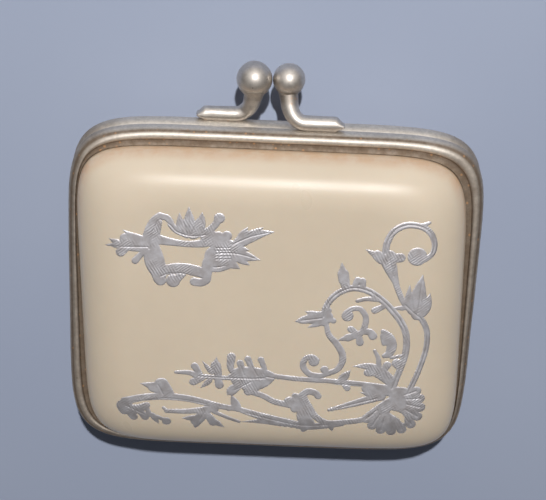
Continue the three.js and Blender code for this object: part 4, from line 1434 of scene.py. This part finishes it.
def make_stage():
    size = 2.0
    corners = [(-size, -size, 0), (size, -size, 0), (size, size, 0), (-size, size, 0)]
    floor = make_object("floor", [(x / MM, y / MM, z) for x, y, z in corners], [(0, 1, 2, 3)])
    floor.data.materials.append(FLOOR)
    target = (0, 0, 0.01)
    area_light("key", (-0.010, -0.262, 0.408), target, (0.012, 0.012), 2.28, (1.0, 0.975, 0.935),
        glossy=False)
    area_light("streak", (-0.03, -0.28, 0.53), target, (0.22, 0.12), 1.5, (1.0, 0.98, 0.96),
        diffuse=False)
    make_room()


def make_room():
    """Dim for diffuse light, so shadows stay deep, and graded in what the metal reflects."""
    world = bpy.data.worlds.new("soft_room")
    world.use_nodes = True
    tree = world.node_tree
    nodes, links = tree.nodes, tree.links
    direction = nodes.new("ShaderNodeTexCoord").outputs["Generated"]
    towards_key = nodes.new("ShaderNodeVectorMath")
    towards_key.operation = "DOT_PRODUCT"
    towards_key.inputs[1].default_value = (0.0, -0.90, 1.12)
    links.new(direction, towards_key.inputs[0])
    level = nodes.new("ShaderNodeMath")
    level.operation = "ADD"
    level.inputs[1].default_value = -0.30
    links.new(towards_key.outputs["Value"], level.inputs[0])
    limit = nodes.new("ShaderNodeClamp")
    limit.inputs["Min"].default_value = 0.20
    links.new(level.outputs[0], limit.inputs["Value"])
    seen = nodes["Background"]
    seen.inputs["Color"].default_value = (1.0, 0.975, 0.945, 1.0)
    links.new(limit.outputs[0], seen.inputs["Strength"])
    dim = nodes.new("ShaderNodeBackground")
    dim.inputs["Color"].default_value = (0.80, 0.86, 1.0, 1.0)
    dim.inputs["Strength"].default_value = 0.055
    backdrop = nodes.new("ShaderNodeBackground")
    backdrop.inputs["Color"].default_value = (0.45, 0.49, 0.58, 1.0)
    path = nodes.new("ShaderNodeLightPath")
    by_diffuse = nodes.new("ShaderNodeMixShader")
    by_camera = nodes.new("ShaderNodeMixShader")
    links.new(path.outputs["Is Diffuse Ray"], by_diffuse.inputs["Fac"])
    links.new(seen.outputs["Background"], by_diffuse.inputs[1])
    links.new(dim.outputs["Background"], by_diffuse.inputs[2])
    links.new(path.outputs["Is Camera Ray"], by_camera.inputs["Fac"])
    links.new(by_diffuse.outputs["Shader"], by_camera.inputs[1])
    links.new(backdrop.outputs["Background"], by_camera.inputs[2])
    links.new(by_camera.outputs["Shader"], nodes["World Output"].inputs["Surface"])
    bpy.context.scene.world = world


# ---------- assembly

make_camera()
make_stage()
bpy.context.scene.view_settings.view_transform = "Standard"

make_cover("base", -1, BASE_OUTLINE)
make_cover("lid", 1, LID_OUTLINE)
make_rim("base", -1, BASE_OUTLINE)
make_rim("lid", 1, LID_OUTLINE)
make_hinge()
make_clasp("base", -1)
make_clasp("lid", 1)
make_inlays()
make_mirror()
make_base_inside()
make_puff()
make_ribbon()
